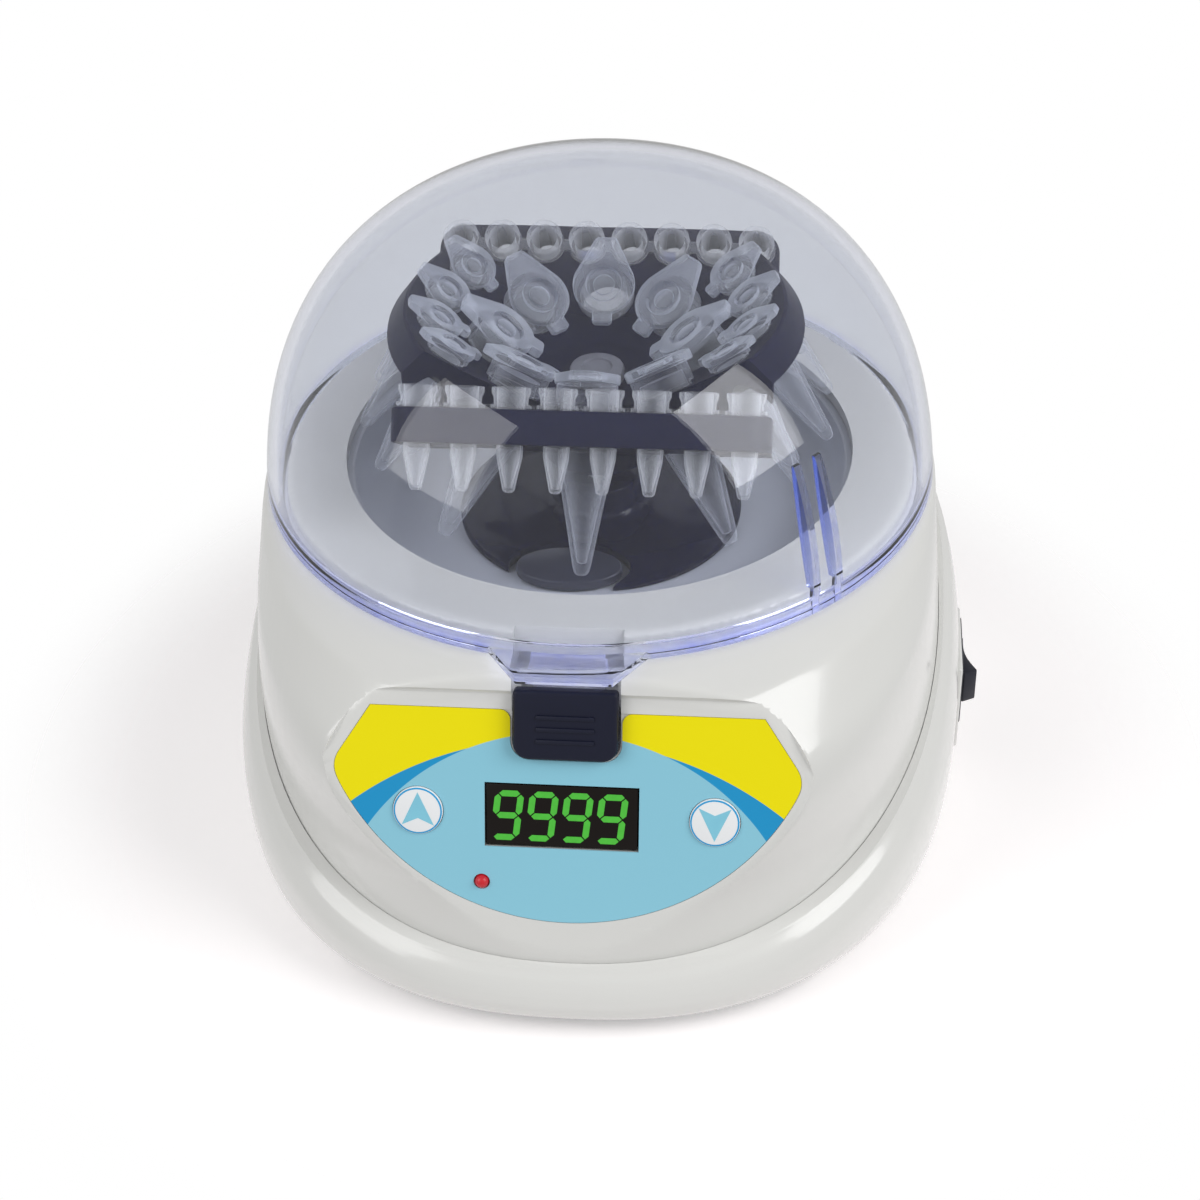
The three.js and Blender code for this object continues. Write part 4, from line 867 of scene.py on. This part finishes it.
# %% Rotor plate
tilt = math.radians(36.5)
tilt_slope = math.tan(tilt)
lobe_radius, slab_depth, band_half = 42.1, 6.8, 21.5
cone_tip, plate_floor, hub_radius = 84.4, 94, 12
large_seat, small_seat, strip_seat = (17.8, 106), (30.5, 111.2), (32, 106.4)
lobe_top_radius = lobe_radius - slab_depth * math.sin(tilt)
lobe_top = cone_tip + tilt_slope * lobe_top_radius
lobe_foot = lobe_top - slab_depth * math.cos(tilt)
floor_radius = (plate_floor - cone_tip) / tilt_slope


def lean(radius, height, turn):
    """The way a tube hangs: tip outwards, turned to its place on the rotor."""
    return (Matrix.Rotation(math.radians(turn), 4, "Z") @ Matrix.Translation((radius, 0, height))
            @ Matrix.Rotation(-tilt, 4, "Y"))


rotor = turned("rotor_plate", [
    (0, plate_floor), (0, 78), (hub_radius, 78),
    (hub_radius, lobe_foot - tilt_slope * (lobe_radius - hub_radius)),
    (lobe_radius, lobe_foot), (lobe_radius - 0.1, lobe_foot + 0.5), (lobe_top_radius + 0.4, lobe_top - 0.4),
    (lobe_top_radius - 0.3, lobe_top - 0.15),
    (floor_radius + 1, plate_floor + 0.5), (floor_radius - 0.6, plate_floor),
], 144)
common(rotor, block("band", (-99, -band_half, 0), (99, band_half, far)))
for side in (0, 180):
    turn = Matrix.Rotation(math.radians(side), 4, "Z")
    wing_frame = turn @ Matrix.Translation((0, *strip_seat)) @ Matrix.Rotation(tilt, 4, "X")
    inner = (strip_seat[0] - band_half + 3.5) / math.cos(tilt)
    outline = rounded_box(-36.5, -inner, 36.5, 4.7, 0.5, 5)
    wing = bevelled(slab("wing", outline, -slab_depth, 0), 0.4, 2, 60)
    web = block("web", (-36.45, 18, 0), (36.45, 21.45, far))
    bulk = turned("bulk", [
        (0, 0), (lobe_radius, 0), (lobe_radius, lobe_foot), (lobe_top_radius, lobe_top),
        (floor_radius, plate_floor), (0, plate_floor),
    ], 144)
    above = block("above", (-far, -far, -slab_depth), (far, far, far))
    moved(above, Matrix.Translation((0, *strip_seat)) @ Matrix.Rotation(tilt, 4, "X"))
    common(web, moved(bulk, turn @ turn), above)
    join(rotor, moved(wing, wing_frame), moved(web, turn))
print("rotor plate:", len(rotor.data.polygons), "faces")

# %% [markdown]
# Every hole is bored along the way its tube hangs. The bores are a little wider
# than the tubes, and each collar rests on its hole's rim.

# %% Rotor bores
large_turns = [i * 45 for i in range(8)]
small_turns = [side + turn for side in (0, 180) for turn in (-30.3, -10.3, 10.3, 30.3)]
strip_pitch = 9
strip_places = [(i - 3.5) * strip_pitch for i in range(8)]
for turn in large_turns:
    cut(rotor, moved(rod("bore", 5.65, -100, 0, 40), lean(*large_seat, turn)))
for turn in small_turns:
    cut(rotor, moved(rod("bore", 4.2, -100, 0, 32), lean(*small_seat, turn)))
for side in (-90, 90):
    for y in strip_places:
        cut(rotor, moved(rod("bore", 3.3, -30, 12, 28, (0, y)), lean(*strip_seat, side)))
cut(rotor, rod("shaft_bore", 2.8, 0, far, 32))
place(rotor, on_axis, "rotor", rotor_navy, ["rotor_body"], 30)

knob = turned("rotor_nut", [
    (0, 91.3), (2.5, 91.3), (2.5, 94.3), (5.6, 94.3), (5.6, 96.3), (5.4, 96.7), (5, 96.9),
    (3.2, 96.9), (3, 96.5), (2.6, 96.4), (0, 96.4),
], 64)
place(knob, on_axis, "rotor", knob_grey, ["rotor_knob"])

# %% [markdown]
# ## The capped tubes
# A capped tube is a thin cone under a collar, closed by a cap with a hinge strap
# on one side and a lift tab on the other. One mesh is made for each size and
# used for all eight, turned about the rotor's axis. The bodies are hollow with
# a thin wall, so that light passes through them as it does on the real ones. The
# cap's outline comes first: a disc with a strap to one side and a tab opposite.

# %% Cap outline
def cap_outline(radius, hinge_reach, hinge_half, tab_reach, tab_half):
    shoulder = math.asin(hinge_half / radius) + math.radians(38)
    tab = math.asin(tab_half / radius)
    points = [(hinge_reach - 0.4, -hinge_half), (hinge_reach, -hinge_half + 0.5),
              (hinge_reach, hinge_half - 0.5), (hinge_reach - 0.4, hinge_half)]
    for start, end in ((shoulder, math.pi - tab), (math.pi + tab, 2 * math.pi - shoulder)):
        for i in range(17):
            angle = start + (end - start) * i / 16
            points.append((radius * math.cos(angle), radius * math.sin(angle)))
        if start == shoulder:
            points += [(-tab_reach + 0.5, tab_half), (-tab_reach, tab_half - 0.6),
                       (-tab_reach, -tab_half + 0.6), (-tab_reach + 0.5, -tab_half)]
    return points


print("cap outline:", len(cap_outline(6.5, 10.3, 2.3, 8.8, 2)), "points")

# %% [markdown]
# The body is turned and its cavity cut out last. All heights count down from the
# cap's upper face. The cap has a dimple with a raised middle, as pressed lids do.

# %% Capped tube
def capped_tube(name, length, radius, collar, collar_foot, cap, thick, tip, taper, wall=0.75):
    hollow_low = -length + tip * 0.8 + wall
    body = turned(name, [
        (0, -length), (tip * 0.55, -length + tip * 0.1), (tip * 0.8, -length + tip * 0.45),
        (tip * 0.98, -length + tip * 1.1), (radius - 0.3, -taper), (radius, -taper + 2.2),
        (radius, -collar_foot), (collar, -collar_foot), (collar, -thick * 0.6), (0, -thick * 0.6),
    ], 40)
    cavity = turned("cavity", [
        (0, hollow_low), (tip * 0.5, hollow_low + 0.3), (radius - 0.3 - wall, -taper),
        (radius - wall, -taper + 2.4), (radius - wall, -thick - 1.6), (0, -thick - 1.6),
    ], 32)
    lid = bevelled(slab("lid", cap_outline(*cap), -thick, -0.02), 0.3, 2, 60)
    cap_radius = cap[0]
    cut(lid, turned("dimple", [
        (0, -thick * 0.62), (cap_radius * 0.56, -thick * 0.62), (cap_radius * 0.66, 3), (0, 3),
    ], 40))
    boss = turned("boss", [
        (0, -thick * 0.9), (cap_radius * 0.34, -thick * 0.9), (cap_radius * 0.34, -thick * 0.3),
        (cap_radius * 0.28, -thick * 0.2), (0, -thick * 0.2),
    ], 32)
    return cut(join(body, lid, boss), cavity)


def seat_drop(top_radius, top, collar):
    """How far below a tube's top its collar meets the rotor's cone."""
    drop = (top - cone_tip - tilt_slope * top_radius) * math.cos(tilt)
    seat = top_radius + drop * math.sin(tilt)
    return drop - (math.hypot(seat, collar) - seat) * math.sin(tilt) - 0.3


print("collar of a large tube:", round(seat_drop(*large_seat, 6.1), 2), "mm down")

# %% [markdown]
# Each place in the rotor gets a copy of the pattern. A cap is thicker than the
# body under it, so its faces carry the denser of the two milky finishes.

# %% Capped tubes in their places
def set_tubes(pattern, seat, cap_foot, turns, prefix):
    for i, turn in enumerate(turns):
        tube = bpy.data.objects.new(f"{prefix}_body_{i + 1}", pattern.data.copy())
        bpy.context.scene.collection.objects.link(tube)
        hang = on_axis @ lean(*seat, turn)
        place(tube, hang, "rotor", tube_milky, [f"{prefix}_{i + 1}"])
        tube.data.materials.append(cap_milky)
        upright = hang.inverted()
        for face in tube.data.polygons:
            if (upright @ face.center).z > cap_foot:
                face.material_index = 1
    bpy.data.objects.remove(pattern)


large_cap, small_cap = (6.5, 10.3, 2.3, 8.8, 2), (4.9, 7.4, 1.7, 6.6, 1.5)
large = capped_tube("large_pattern", 39.5, 5.35, 6.1, seat_drop(*large_seat, 6.1), large_cap, 2, 1.9, 20)
set_tubes(large, large_seat, -2.1, large_turns, "large_tube")
small = capped_tube("small_pattern", 30.6, 3.9, 4.5, seat_drop(*small_seat, 4.5), small_cap, 1.6, 1.5, 15)
set_tubes(small, small_seat, -1.7, small_turns, "small_tube")

# %% [markdown]
# ## The tube strips
# Each wing carries eight small open tubes in a row, joined by thin webs under
# their rims. They are clear, with a flared mouth and a bead below it.

# %% Tube strips
def tube_strip(name):
    whole = None
    for i, y in enumerate(strip_places):
        tube = turned("cell", [
            (0, -15.8), (0.7, -15.7), (1.15, -15.3), (2.5, -9), (2.9, 0.3), (4.1, 0.3), (4.1, 1),
            (3.35, 1), (3.4, 2.4), (3.8, 3.3), (3.8, 4.3), (2.8, 4.3), (2.75, 1), (2.1, -9),
            (0.7, -14.8), (0, -14.9),
        ], 28)
        moved(tube, Matrix.Translation((0, y, 0)))
        whole = join(whole, tube) if whole else tube
        if i:
            join(whole, block("web", (-1.2, y - strip_pitch + 3.2, 0.32), (1.2, y - 3.2, 0.98)))
    whole.name = name
    return whole


for name, turn in (("front_strip", -90), ("rear_strip", 90)):
    strip = tube_strip(f"{name}_cells")
    place(strip, on_axis @ lean(*strip_seat, turn), "rotor", strip_clear, [name])

# %% [markdown]
# ## The lid
# The lid is a clear dome with a thick rim, a tab in front with a tongue for the
# latch, a moulded channel at the right front and two arms for the hinge. It is
# one closed solid with real wall thickness, because the light bends at both of
# its faces. The profile is a superellipse, rounder at the shoulder than a circle.

# %% Lid
dome_radius, dome_rise, dome_foot, dome_power = 70.17, 72.82, 62.74, 2.56


def dome_profile(inset, low, steps):
    radius, rise = dome_radius - inset, dome_rise - inset
    start = math.asin(((low - dome_foot) / rise) ** (dome_power / 2))
    points = []
    for i in range(steps + 1):
        angle = start + (math.pi / 2 - start) * (i / steps)
        across = 0 if i == steps else math.cos(angle) ** (2 / dome_power)
        points.append((radius * across, dome_foot + rise * math.sin(angle) ** (2 / dome_power)))
    return points


lid = turned("lid_shell", [
    (66.8, 75), *dome_profile(0.02, 75.3, 36), *dome_profile(2.2, 78.2, 36)[::-1],
    (66.6, 77.4), (66.4, 77), (66.4, 75.4),
], 160)
tab = slab("tab", [(-15.6, -67.4), (-9.2, -76.7), (9.2, -76.7), (15.6, -67.4)], 75.02, 77)
join(lid, bevelled(tab, 0.3, 2))
for side in (-1, 1):
    middle = side * 8.5
    arm = block("arm", (middle - 3.1, 66.8, 75.02), (middle + 3.1, 75.5, 80.6))
    cut(arm, rod("dome_room", 67.97, 0, far, 160))
    barrel = rod("barrel", knuckle_radius, middle - 3.1, middle + 3.1, 40)
    join(lid, arm, moved(barrel, hinge_place))
print("dome:", len(lid.data.polygons), "faces")

# %% [markdown]
# The channel at the right front is two thin ribs that follow the dome's inner
# face up to a third of its height. Each is drawn as a flat fin and trimmed to
# the dome. The bore through the arms comes last.

# %% Lid channel and hinge bore
rib_turns, rib_half, rib_foot, rib_top = (42, 47), 0.85, 79.1, 104
for turn in rib_turns:
    points = [(70, 75.05), (66.2, 75.05), (66.15, rib_foot), (65.4, rib_foot)]
    for i in range(13):
        t = i / 12
        radius = (1 - t) ** 2 * 65.3 + 2 * t * (1 - t) * 62.2 + t * t * 60
        points.append((radius, rib_foot + (rib_top - rib_foot) * t))
    points.append((70, rib_top))
    fin = slab("fin", points, -rib_half, rib_half)
    moved(fin, Matrix.Rotation(math.radians(-turn), 4, "Z") @ Matrix.Rotation(math.pi / 2, 4, "X"))
    keep = turned(f"keep_{turn}", [(0, 75.05), (67, 75.05), *dome_profile(1.1, 76, 24)], 120)
    join(lid, common(fin, keep))
cut(lid, moved(rod("pin_bore", pin_bore, -100, 100, 24), hinge_place))
print("lid:", len(lid.data.polygons), "faces")

# %% [markdown]
# The ribs' flat sides get a painted blue, painted light for the light that runs
# through them, bluest at their upper ends. A value per face corner marks them for the lid's finish.

# %% Rib sides, and the tongue
# Height where the ribs' painted blue starts, and how far up it deepens to full.
blue_foot, blue_rise = 79, 22


def mark_rib_sides(piece, turn):
    side = Vector((math.sin(math.radians(turn)), math.cos(math.radians(turn)), 0))
    mesh = piece.data
    mask = mesh.attributes.get("rib_side") or mesh.attributes.new("rib_side", "FLOAT", "CORNER")
    flat = [face for face in mesh.polygons if face.center.x > 0 and abs(face.normal.dot(side)) > 0.99
            and abs(abs(face.center.dot(side)) - rib_half) < 0.05]
    for face in flat:
        for corner in face.loop_indices:
            height = mesh.vertices[mesh.loops[corner].vertex_index].co.z
            mask.data[corner].value = min(1, 0.3 + 0.7 * max(0, height - blue_foot) / blue_rise)
    return len(flat)


print("rib sides:", [mark_rib_sides(lid, turn) for turn in rib_turns])
place(lid, on_axis, "lid", lid_clear, ["lid_dome"], 30)
tongue = bevelled(block("latch_tongue", (-7, -68.6, 67.6), (7, -66.6, 74.7)), 0.35, 3)
place(tongue, on_axis, "lid", tongue_milky, ["lid_tongue"])

# %% [markdown]
# ## The printed label
# The label is a film with three fields: a yellow field at each upper corner, a
# light-blue lens below, and a mid-blue crescent between them. It carries no
# words. The fields are circles in the panel's own plane, so the colours are
# painted by distance and stay sharp at any size.

# %% Shared group: disc mask
def disc_mask_group():
    group, given, result = new_group("Disc mask", {"Centre": no_vector, "Radius": 0.04}, {"Mask": 0})
    flat = add(group, "ShaderNodeVectorMath", {0: on_object(group), 1: (1, 1, 0)}, operation="MULTIPLY")
    ends = {0: flat.outputs["Vector"], 1: given["Centre"]}
    gap = add(group, "ShaderNodeVectorMath", ends, operation="DISTANCE").outputs["Value"]
    inward = calc(group, "SUBTRACT", given["Radius"], gap)
    fill(group, result, {"Mask": ramp(group, inward, {"From Min": -0.00005, "From Max": 0.00005})})
    return group


disc_mask = disc_mask_group()
print("group:", disc_mask.name, len(disc_mask.nodes), "nodes")

# %% [markdown]
# Two discs are enough. The larger one turns yellow into mid blue, and the lens
# in front of it turns that into light blue, so the crescent is what is left.

# %% Label finish
def label_material():
    material, tree, shader = empty_material("label film")
    crescent = with_group(tree, disc_mask, {"Centre": (0, -0.0787, 0), "Radius": 0.0674})["Mask"]
    lens = with_group(tree, disc_mask, {"Centre": (0, -0.0564, 0), "Radius": 0.0464})["Mask"]
    outer = blend(tree, crescent, srgb(250, 236, 0), srgb(34, 154, 210))
    fields = blend(tree, lens, outer, srgb(146, 208, 228))
    skinned(tree, shader, fields, 0.015, 0.3, 0.08, (2400, 0.04))
    fill(tree, shader.inputs, {"Specular IOR Level": 0.25})
    return material


label_film = label_material()
print("label finish:", len(label_film.node_tree.nodes), "nodes")

# %% [markdown]
# The film itself is a thin slab that lies in the casing's recess. Its openings
# leave a small gap round the button, the display, the keys and the lamp.

# %% Label
def corner_bite(side):
    """What rounds off the label's inner upper corner beside the button."""
    angles = [math.pi - (math.pi / 2) * i / 8 for i in range(9)]
    arc = [(12.7 + 2 * math.cos(a), -7.88 + 2 * math.sin(a)) for a in angles]
    outline = [(10.2, -5), (10.2, -7.88), *arc, (12.7, -5)]
    return slab("corner_bite", [(side * x, y) for x, y in outline], -9, 9)


label = slab("panel_label", label_outline(0.12), -0.3, -0.02)
cut(
    label,
    corner_bite(-1), corner_bite(1),
    slab("button_notch", rounded_box(-10.7, -15.8, 10.7, 20, 3.7, 0.01, 12), -9, 9),
    block("display_notch", (*display_low, -9), (*display_high, 9)),
    rod("up_hole", 4.98, -9, 9, 64, up_spot),
    rod("down_hole", 4.98, -9, 9, 64, down_spot),
    rod("lamp_hole", 1.6, -9, 9, 32, lamp_spot),
)
place_on_panel(label, "casing", label_film, ["control_label"])

# %% [markdown]
# ## Display, keys and lamp
# The display is a dark window with four figures made of strokes. The strokes are
# thin pieces of their own, so that they can glow. Each key is a white cap with a
# blue ring and an arrow, and the lamp is a red bead.

# %% Display
def glow(name, colour, strength):
    material, tree, shader = empty_material(name)
    tone = blend(tree, noise(tree, 900, 2, on_object(tree)), colour, darker(colour, 0.75))
    fill(tree, shader.inputs, {
        "Base Color": tone, "Emission Color": tone, "Emission Strength": strength, "Roughness": 0.35,
    })
    return material


display = bevelled(block("display_window", (-15.4, -33.6, -8.4), (13.8, -21, -0.2)), 0.25, 2)
place_on_panel(display, "casing", display_black, ["display_module"])

stroke_green = glow("display green", srgb(70, 178, 52), 0.35)

# %% [markdown]
# Each stroke is a flat bar with pointed ends. Six of the usual seven make the
# figure that all four places show. A slant of about seven degrees comes last.

# %% Display figures
figure_left, figure_foot, figure_step, slant = -14.1, -31.9, 6.7, 0.12
stroke_half, stroke_gap = 0.62, 0.18


def stroke(start, end):
    (x0, y0), (x1, y1), half = start, end, stroke_half
    length = math.hypot(x1 - x0, y1 - y0)
    dx, dy = (x1 - x0) / length, (y1 - y0) / length
    px, py = -dy * half, dx * half
    return [
        (x0, y0), (x0 + dx * half + px, y0 + dy * half + py),
        (x1 - dx * half + px, y1 - dy * half + py), (x1, y1),
        (x1 - dx * half - px, y1 - dy * half - py), (x0 + dx * half - px, y0 + dy * half - py),
    ]


def figure_nine(left, low, width, height):
    right_x, middle, top = left + width, low + height / 2, low + height
    gap = stroke_gap
    level = [stroke((left + gap, y), (right_x - gap, y)) for y in (top, middle, low)]
    return level + [
        stroke((left, middle + gap), (left, top - gap)),
        stroke((right_x, middle + gap), (right_x, top - gap)),
        stroke((right_x, low + gap), (right_x, middle - gap)),
    ]


points, faces = [], []
for digit in range(4):
    for outline in figure_nine(figure_left + digit * figure_step, figure_foot, 4.4, 9):
        outline = [(x + (y - figure_foot) * slant, y) for x, y in outline]
        base = len(points)
        points += [(x, y, -0.21) for x, y in outline] + [(x, y, -0.15) for x, y in outline]
        faces.append([base + k for k in range(6)][::-1])
        faces.append([base + 6 + k for k in range(6)])
        for k in range(6):
            n = (k + 1) % 6
            faces.append([base + k, base + n, base + 6 + n, base + 6 + k])
figures = new_object("display_figures", points, faces)
place_on_panel(figures, "casing", stroke_green, ())

# %% [markdown]
# The keys are turned caps. The ring and the arrow are thin pieces on top rather
# than paint, so that their edges stay crisp. The lamp's bead is turned as well.

# %% Keys and lamp
arrow_shape = [(0, 3.8), (3.15, -2.95), (0, -1.5), (-3.15, -2.95)]
for name, body, (u, v), way in (("up_key", "key_up", up_spot, 1), ("down_key", "key_down", down_spot, -1)):
    cap = turned(f"{name}_cap", [
        (0, -4.5), (1.6, -4.5), (1.6, -3), (4.85, -3), (4.85, 0.25), (4.7, 0.42), (4.45, 0.48), (0, 0.48),
    ], 72)
    moved(cap, Matrix.Translation((u, v, 0)))
    place_on_panel(cap, body, key_white, [name])
    ring = turned(f"{name}_ring", [(4.4, 0.4), (4.72, 0.34), (4.72, 0.42), (4.4, 0.5)], 72)
    moved(ring, Matrix.Translation((u, v, 0)))
    place_on_panel(ring, body, key_blue, ())
    arrow = slab(f"{name}_arrow", [(u + x * way, v + y * way) for x, y in arrow_shape], 0.44, 0.498)
    place_on_panel(arrow, body, arrow_blue, ())

lamp_red = glow("lamp red", srgb(196, 28, 40), 0.25)
lamp = turned("lamp_bead", [
    (0, -8.9), (1.3, -8.9), (1.3, 0), (1.2, 0.35), (0.95, 0.68), (0.6, 0.88), (0.3, 0.98), (0, 1),
], 32)
moved(lamp, Matrix.Translation((*lamp_spot, 0)))
place_on_panel(lamp, "casing", lamp_red, ["status_lamp"])

# %% [markdown]
# ## The latch button
# The button is a dark cap with rounded lower corners. It carries a few plain
# grip ribs. Behind it are the plunger and the catch that holds the lid's tongue,
# which show through the pocket when the lid is up.

# %% Button
spring_spot = (-4, -11.5)
face = rounded_box(-10, -15.1, 10, -1.2, 3, 0.8, 8)
button = bevelled(slab("latch_button", face, -1, 2.15), 0.7, 3, 50)
for v in (-11.2, -8.8, -6.4):
    rib = bevelled(block("rib", (-5.6, v - 0.45, 1.6), (5.6, v + 0.45, 2.55)), 0.3, 2)
    join(button, rib)
join(
    button,
    block("plunger", (-8, -14, -10), (0, -9, -0.5)),
    block("arm", (-6.5, -13, -10), (-1.5, 0.4, -7.5)),
    block("nose", (-6.5, -1.6, -9), (-1.5, 0.4, -6.8)),
)
cut(button, rod("spring_hole", 2.4, -30, -1, 28, spring_spot))
place_on_panel(button, "button", button_navy, ["push_button"])

# %% [markdown]
# The spring behind the button is a wire wound in a helix. It is swept as a chain
# of small rings along the helix, which is quick and needs no curve object.

# %% Spring
def wound_wire(name, radius, wire, low, high, turns):
    rings = []
    steps = int(turns * 16)
    for i in range(steps + 1):
        t = i / steps
        angle = 2 * math.pi * turns * t
        centre = Vector((radius * math.cos(angle), radius * math.sin(angle), low + (high - low) * t))
        out = Vector((math.cos(angle), math.sin(angle), 0))
        rise = Vector((0, 0, 1))
        rings.append([tuple(centre + out * wire * math.cos(a) + rise * wire * math.sin(a))
                      for a in (2 * math.pi * k / 8 for k in range(8))])
    return stacked(name, rings)


spring = wound_wire("latch_spring", 1.6, 0.35, -14.7, -4.1, 7)
moved(spring, Matrix.Translation((*spring_spot, 0)))
place_on_panel(spring, "casing", steel, ["catch_spring"], 60)

# %% [markdown]
# ## The power switch and the inlet
# On the right side a rocker switch sits in a flat pad, and a round inlet for a
# low-voltage plug is assumed at the rear.

# %% Switch and inlet
housing = bevelled(block("switch_frame", (77.7, -9.3, 12.5), (79.2, 9.3, 27.5)), 0.25, 2)
join(housing, block("switch_body", (64.9, -8.2, 13.6), (78.3, 8.2, 26.4)))
cut(housing, block("switch_well", (73.7, -7.1, 15.5), (90, 7.1, 24.5)))
place(housing, on_axis, "casing", switch_black, ["switch_housing"])

along = [i / 14 for i in range(1, 14)]
hollow_face = [(3.1 - 1.05 * math.sin(math.pi * t), -5.8 + 11.6 * t) for t in along]
rocker_outline = [(-3.2, -3), (0, -6.6), (3.1, -5.8), *hollow_face, (3.1, 5.8), (0, 6.6), (-3.2, 3)]
rocker = bevelled(slab("power_rocker", rocker_outline, -4.1, 4.1), 0.3, 2, 50)
rocker_place = Matrix.Translation((78.1, 0, 20)) @ Matrix.Rotation(math.radians(14), 4, "Z")
place(rocker, on_axis @ rocker_place, "rocker", switch_black, ["switch_rocker"])

inlet = bevelled(block("inlet_body", (-5.5, 64.9, 16.5), (5.5, 79.15, 27.5)), 0.4, 2)
bore = rod("bore", 2.9, 70.2, 90, 40)
contact = rod("contact", 0.9, 68, 77.9, 20)
for piece in (bore, contact):
    moved(piece, Matrix.Translation((0, 0, 22)) @ Matrix.Rotation(-math.pi / 2, 4, "X"))
join(cut(inlet, bore), contact)
place(inlet, on_axis, "casing", switch_black, ["power_inlet"])

# %% [markdown]
# ## Pieces that stay as they are
# The motor, its bracket and rubber mounts, the board, the pins, the screws, the
# feet and the bottom cover are right as the CAD has them. They only get a finish.

# %% Finishes on the CAD's own pieces
kept = {
    "bottom_cover": cover_white, "motor": zinc, "motor_bracket": zinc, "motor_shaft": steel,
    "hinge_pin": steel, "lid_sense_pin": steel, "lid_switch": switch_black, "control_board": board_green,
}
kept.update({f"foot_{i}": rubber_black for i in range(1, 5)})
kept.update({f"cover_screw_{i}": steel for i in range(1, 5)})
kept.update({f"motor_damper_{i}": rubber_black for i in range(1, 4)})
for name, finish in kept.items():
    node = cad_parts[name]
    node.data.materials.clear()
    node.data.materials.append(finish)
    shade(node, 32)
print(len(kept), "CAD pieces keep their shape")

# %% [markdown]
# ## Floor and light
# The photograph has a white ground with a very soft shadow. The floor is a plain
# sheet that fades out round the machine, and it shines a little by itself where
# it is seen, so that it joins the white of the world without an edge.

# %% Floor
def background_rays(tree, rays, mirrored):
    """1 for a ray that looks at the background, and mirrored for a glossy one."""
    straight = calc(tree, "MAXIMUM", rays["Is Camera Ray"], rays["Is Transmission Ray"])
    return calc(tree, "MAXIMUM", straight, calc(tree, "MULTIPLY", rays["Is Glossy Ray"], mirrored))


fade_start, fade_end, floor_glow = 0.1, 0.148, 0.27
floor = new_object("floor", [(-3, -3, 0), (3, -3, 0), (3, 3, 0), (-3, 3, 0)], [[0, 1, 2, 3]])
material, tree, shader = empty_material("studio floor")
tree.nodes.remove(shader)
seen = background_rays(tree, add(tree, "ShaderNodeLightPath").outputs, 1)
spread = add(tree, "ShaderNodeBsdfDiffuse", {"Color": (0.93, 0.9, 0.905, 1)}).outputs["BSDF"]
lift = add(tree, "ShaderNodeEmission", {"Strength": calc(tree, "MULTIPLY", seen, floor_glow)})
both = add(tree, "ShaderNodeAddShader", {0: spread, 1: lift.outputs["Emission"]}).outputs["Shader"]
away = add(tree, "ShaderNodeVectorMath", {0: on_object(tree)}, operation="LENGTH").outputs["Value"]
fade = ramp(tree, away, {"From Min": fade_start, "From Max": fade_end}, interpolation_type="SMOOTHSTEP")
clear = add(tree, "ShaderNodeBsdfTransparent").outputs["BSDF"]
surface = add(tree, "ShaderNodeMixShader", {"Fac": fade, 1: both, 2: clear}).outputs["Shader"]
fill(tree, tree.nodes["Material Output"].inputs, {"Surface": surface})
floor.data.materials.append(material)
print("floor fades out between", fade_start, "and", fade_end, "m")

# %% [markdown]
# The world is white where it is seen, and weaker where it lights. A gloss sees
# it at less than full strength, so that the soft boxes stand out in the dome.
# Light that has bounced inside the chamber leaves through the dome as if it were
# looking at the background, so such rays get the weaker level too.

# %% World
gloss_share, lit_level = 0.45, 0.39
world = bpy.data.worlds.new("studio")
bpy.context.scene.world = world
world.use_nodes = True
tree = world.node_tree
rays = add(tree, "ShaderNodeLightPath").outputs
unbounced = calc(tree, "LESS_THAN", rays["Diffuse Depth"], 0.5)
shown = calc(tree, "MULTIPLY", background_rays(tree, rays, gloss_share), unbounced)
level = ramp(tree, shown, {"To Min": lit_level, "To Max": 1.0})
fill(tree, tree.nodes["Background"].inputs, {"Color": (1, 1, 1, 1), "Strength": level})
print("world:", len(tree.nodes), "nodes")

# %% [markdown]
# Two large soft boxes stand to the left and right in front. Each is turned to
# the machine's middle. Their mirror images are the pale patches on the dome.

# %% Lamps
def soft_box(name, place_mm, width, height, power):
    data = bpy.data.lights.new(name, "AREA")
    data.shape = "RECTANGLE"
    data.size, data.size_y = width, height
    data.energy = power
    lamp_object = bpy.data.objects.new(name, data)
    bpy.context.scene.collection.objects.link(lamp_object)
    start, target = on_axis @ Vector(place_mm), on_axis @ Vector((0, 0, 60))
    lamp_object.location = start
    lamp_object.rotation_euler = (target - start).to_track_quat("-Z", "Y").to_euler()
    return lamp_object


soft_box("box_left", (-862, -626, 675), 0.7, 0.9, 5.5)
soft_box("box_right", (952, -424, 790), 0.66, 0.9, 8.6)
bpy.context.scene.view_settings.view_transform = "Standard"
